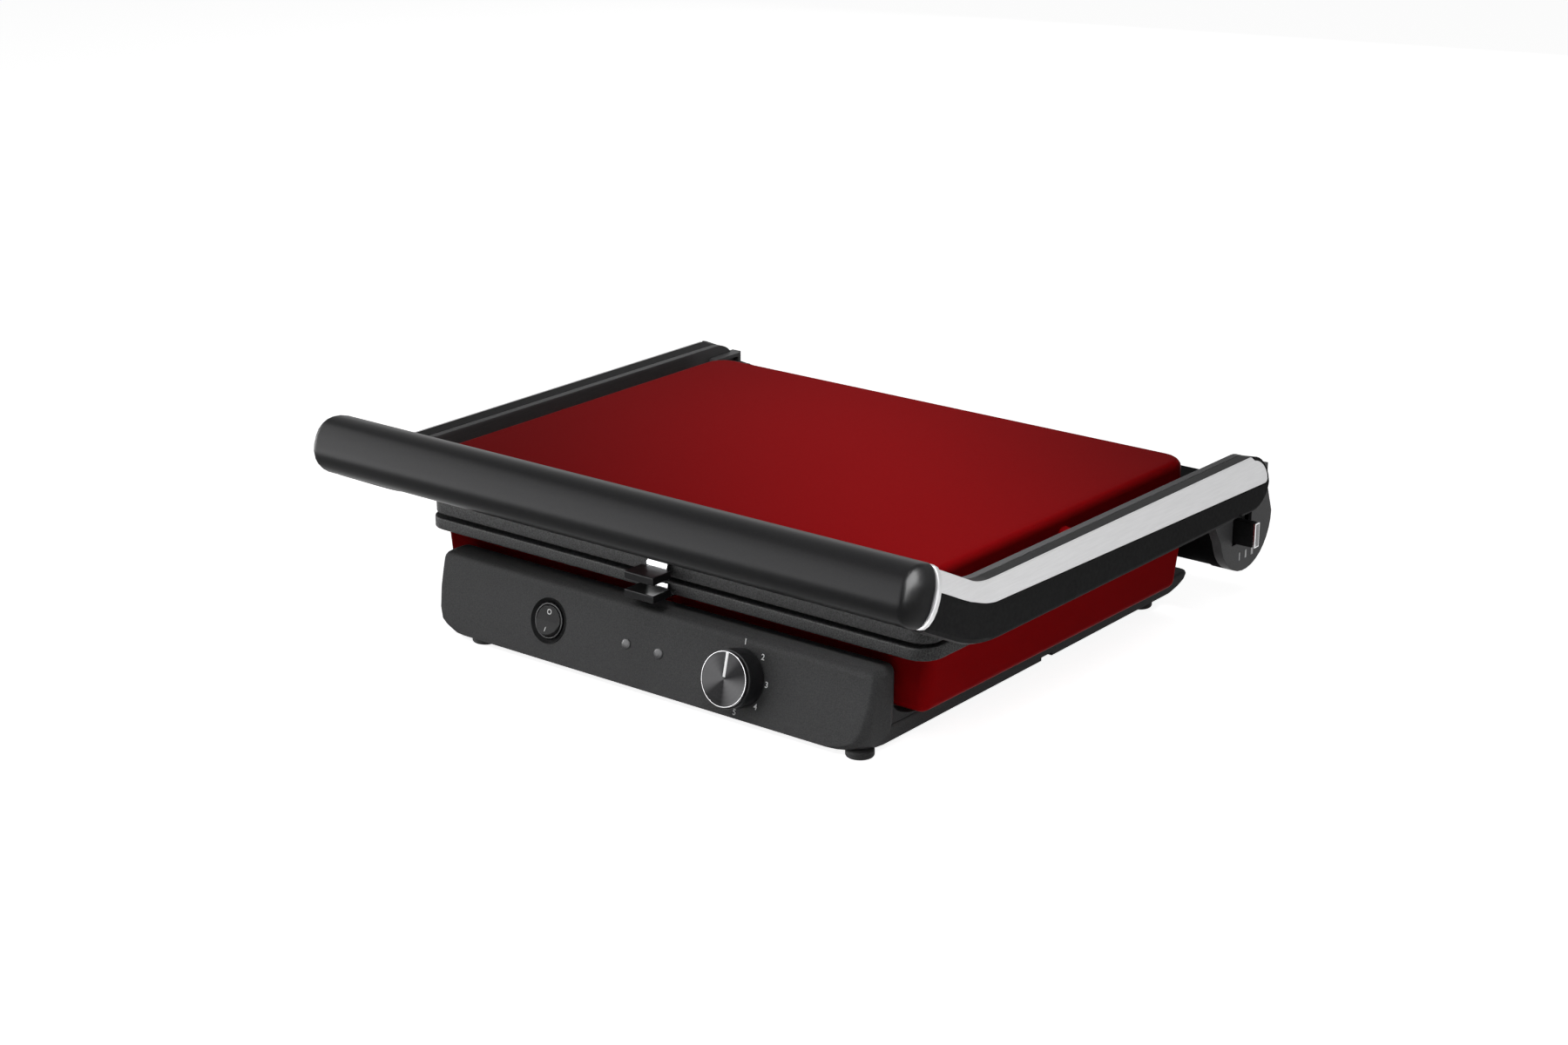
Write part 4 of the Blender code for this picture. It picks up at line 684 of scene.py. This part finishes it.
makeHingeMarks(hingeMarkSettings)
print("hinge marks ready")


# Lamps and feet

lampSettings = {
    "radius": 0.0029, "rise": 0.0008, "lift": 0.0002, "rimLift": 0.00005, "upShift": -0.0003,
    "stem": 0.0019, "stemLength": 0.0020, "steps": 48,
}


def makeLamps(settings):
    # A low dome whose rim lies on the panel, with a stem in its hole
    radius, stem, rim = settings["radius"], settings["stem"], settings["rimLift"]
    flatter = settings["rise"] / radius
    curve = reversed(arcPoints((0, 0), radius, 0, 90, 12))
    dome = [(r, settings["lift"] + h * flatter) for r, h in curve]
    dome[0] = (0.0, dome[0][1])
    low = -settings["stemLength"]
    profile = [*dome, (radius, rim), (stem, rim), (stem, low), (0.0, low)]
    for side in ("left", "right"):
        node = f"indicator_lamp_{side}"
        near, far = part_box(node)
        centre = onPanel((near[0] + far[0]) / 2 - dialCentre.x, settings["upShift"], 0.0)
        turnedPiece(
            f"lamp_{side}_fine", profile, "lamp_plastic", "base", centre, panelNormal,
            settings["steps"], replaced=(node,),
        )


footSettings = {"top": 0.0040, "edge": 0.0014, "steps": 64}


def makeFeet(settings):
    # Round feet with a chamfer at the top and a rounded lower edge
    top, edge = settings["top"], settings["edge"]
    for end in ("front", "rear"):
        for side in ("left", "right"):
            node = f"foot_{end}_{side}"
            low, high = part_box(node)
            centre = Vector(((low[0] + high[0]) / 2, (low[1] + high[1]) / 2, 0))
            radius = (high[0] - low[0]) / 2
            profile = [
                (0, top), (radius - edge / 3, top), (radius, top - edge / 3),
                *arcPoints((radius - edge, edge), edge, 0, -90, 6), (0, 0),
            ]
            turnedPiece(
                f"{node}_fine", profile, "rubber", "base", centre, (0, 0, 1),
                settings["steps"], replaced=(node,),
            )


makeLamps(lampSettings)
makeFeet(footSettings)
print("lamps and feet ready")


# Nodes that stay as they are

for node, item in frame["nodes"].items():
    if not item.hide_viewport:
        item.data.materials.clear()
        item.data.materials.append(materials[slotOf[node]])


# Camera, floor and light

cameraSettings = {
    "place": (0.91149, -1.17692, 0.55594), "turn": (71.38, 0.0, 38.4),
    "lens": 66.5, "sensor": 36.0,
}


def makeCamera(settings):
    data = bpy.data.cameras.new("camera")
    data.lens = settings["lens"]
    data.sensor_width = settings["sensor"]
    camera = addObject("camera", data)
    camera.location = settings["place"]
    camera.rotation_euler = [math.radians(value) for value in settings["turn"]]
    bpy.context.scene.camera = camera


floorSettings = {
    "size": 12.0, "glow": 0.90,
    "look": {"colour": (0.86, 0.86, 0.86), "roughness": 0.9, "specular": 0.0},
}


def backgroundRays(tree):
    # 1 where a camera, glossy or transmission ray looks, 0 for the rest
    path = tree.nodes.new("ShaderNodeLightPath")
    seen = None
    for ray in ("Is Camera Ray", "Is Glossy Ray", "Is Transmission Ray"):
        if seen is None:
            seen = path.outputs[ray]
            continue
        both = tree.nodes.new("ShaderNodeMath")
        both.operation = "MAXIMUM"
        tree.links.new(seen, both.inputs[0])
        tree.links.new(path.outputs[ray], both.inputs[1])
        seen = both.outputs["Value"]
    return seen


def makeFloor(settings):
    bm = bmesh.new()
    bmesh.ops.create_grid(bm, x_segments=1, y_segments=1, size=settings["size"] / 2)
    mesh = toMesh("floor", bm)
    floor = addObject("floor", mesh)
    material, shader = newMaterial("floor", settings["look"])
    glow = addNode(material, "ShaderNodeMath", operation="MULTIPLY")
    glow.inputs[1].default_value = settings["glow"]
    link(material, backgroundRays(material.node_tree), glow.inputs[0])
    shader.inputs["Emission Color"].default_value = (1, 1, 1, 1)
    link(material, glow.outputs["Value"], shader.inputs["Emission Strength"])
    mesh.materials.append(material)


worldSettings = {"seen": 1.0, "light": 0.055}


def makeWorld(settings):
    world = bpy.data.worlds.new("studio")
    bpy.context.scene.world = world
    world.use_nodes = True
    tree = world.node_tree
    back = tree.nodes["Background"]
    back.inputs["Color"].default_value = (1, 1, 1, 1)
    level = tree.nodes.new("ShaderNodeMapRange")
    level.inputs["To Min"].default_value = settings["light"]
    level.inputs["To Max"].default_value = settings["seen"]
    tree.links.new(backgroundRays(tree), level.inputs["Value"])
    tree.links.new(level.outputs["Result"], back.inputs["Strength"])


# The strip over the lid runs towards the camera, and gripEnd shows in the grip's gloss alone
lightSettings = {
    "strip": {
        "place": (0.115, -0.065, 1.15), "aim": (0.115, -0.065, 0), "size": (0.70, 0.07),
        "power": 0.34, "roll": -43.0, "spread": 24.0,
    },
    "front": {
        "place": (-0.40, -1.05, 1.10), "aim": (0, -0.1, 0.04), "size": (1.0, 0.5), "power": 6.4,
    },
    "corner": {
        "place": (0.70, -0.90, 1.00), "aim": (0.1, -0.1, 0.04), "size": (0.5, 0.4), "power": 3.2,
    },
    "side": {
        "place": (1.7, 0.3, 0.13), "aim": (0.1, 0, 0.07), "size": (1.2, 0.22), "power": 4.6,
    },
    "rear": {
        "place": (-0.5, 1.9, 0.45), "aim": (0, 0, 0.05), "size": (1.2, 0.5), "power": 5.0,
        "gloss": False,
    },
    "gripEnd": {
        "place": (1.05, -0.22, 0.75), "aim": (0.19, -0.165, 0.10), "size": (1.5, 1.3),
        "power": 620.0, "diffuse": False, "only": ("grip_fine",),
    },
}


def makeLights(settings):
    for name, values in settings.items():
        data = bpy.data.lights.new(name, "AREA")
        data.shape = "RECTANGLE"
        data.size, data.size_y = values["size"]
        data.energy = values["power"]
        data.spread = math.radians(values.get("spread", 180.0))
        lamp = addObject(name, data)
        aim = Vector(values["aim"]) - Vector(values["place"])
        turn = aim.to_track_quat("-Z", "Y").to_matrix().to_4x4()
        roll = Matrix.Rotation(math.radians(values.get("roll", 0.0)), 4, "Z")
        lamp.matrix_world = Matrix.Translation(values["place"]) @ turn @ roll
        lamp.visible_camera = False
        lamp.visible_diffuse = values.get("diffuse", True)
        lamp.visible_glossy = values.get("gloss", True)
        if "only" in values:
            receivers = bpy.data.collections.new(name + "_receivers")
            for item in values["only"]:
                receivers.objects.link(bpy.data.objects[item])
            lamp.light_linking.receiver_collection = receivers


cardSettings = {
    "place": (-0.32, -0.56, 0.002), "aim": (0, -0.17, 0.002), "size": (1.3, 0.9),
    "low": 20.0, "high": 1.0,
}


def makeCard(settings):
    # A tall card that only gloss sees, bright at its foot and fading upwards
    width, height = settings["size"]
    bm = bmesh.new()
    bmesh.ops.create_grid(bm, x_segments=1, y_segments=1, size=0.5)
    bm.transform(Matrix.Diagonal((width, height, 1.0, 1.0)))
    bm.transform(Matrix.Translation((0, height / 2, 0)))
    aim = Vector(settings["aim"]) - Vector(settings["place"])
    turn = aim.to_track_quat("Z", "Y").to_matrix().to_4x4()
    bm.transform(Matrix.Translation(settings["place"]) @ turn)
    mesh = toMesh("front_card", bm)
    card = addObject("front_card", mesh)
    material = bpy.data.materials.new("front_card")
    material.use_nodes = True
    tree = material.node_tree
    tree.nodes.clear()
    output = tree.nodes.new("ShaderNodeOutputMaterial")
    glow = tree.nodes.new("ShaderNodeEmission")
    coordinates = tree.nodes.new("ShaderNodeTexCoord")
    split = tree.nodes.new("ShaderNodeSeparateXYZ")
    fade = tree.nodes.new("ShaderNodeMapRange")
    low = settings["place"][2]
    fade.inputs["From Min"].default_value = low
    fade.inputs["From Max"].default_value = low + height
    fade.inputs["To Min"].default_value = settings["low"]
    fade.inputs["To Max"].default_value = settings["high"]
    tree.links.new(coordinates.outputs["Object"], split.inputs["Vector"])
    tree.links.new(split.outputs["Z"], fade.inputs["Value"])
    tree.links.new(fade.outputs["Result"], glow.inputs["Strength"])
    tree.links.new(glow.outputs["Emission"], output.inputs["Surface"])
    mesh.materials.append(material)
    card.visible_camera = False
    card.visible_diffuse = False
    card.visible_transmission = False
    card.visible_shadow = False


makeCamera(cameraSettings)
makeFloor(floorSettings)
makeWorld(worldSettings)
makeLights(lightSettings)
makeCard(cardSettings)
bpy.context.scene.view_settings.view_transform = "Standard"
print("camera, floor and light ready")
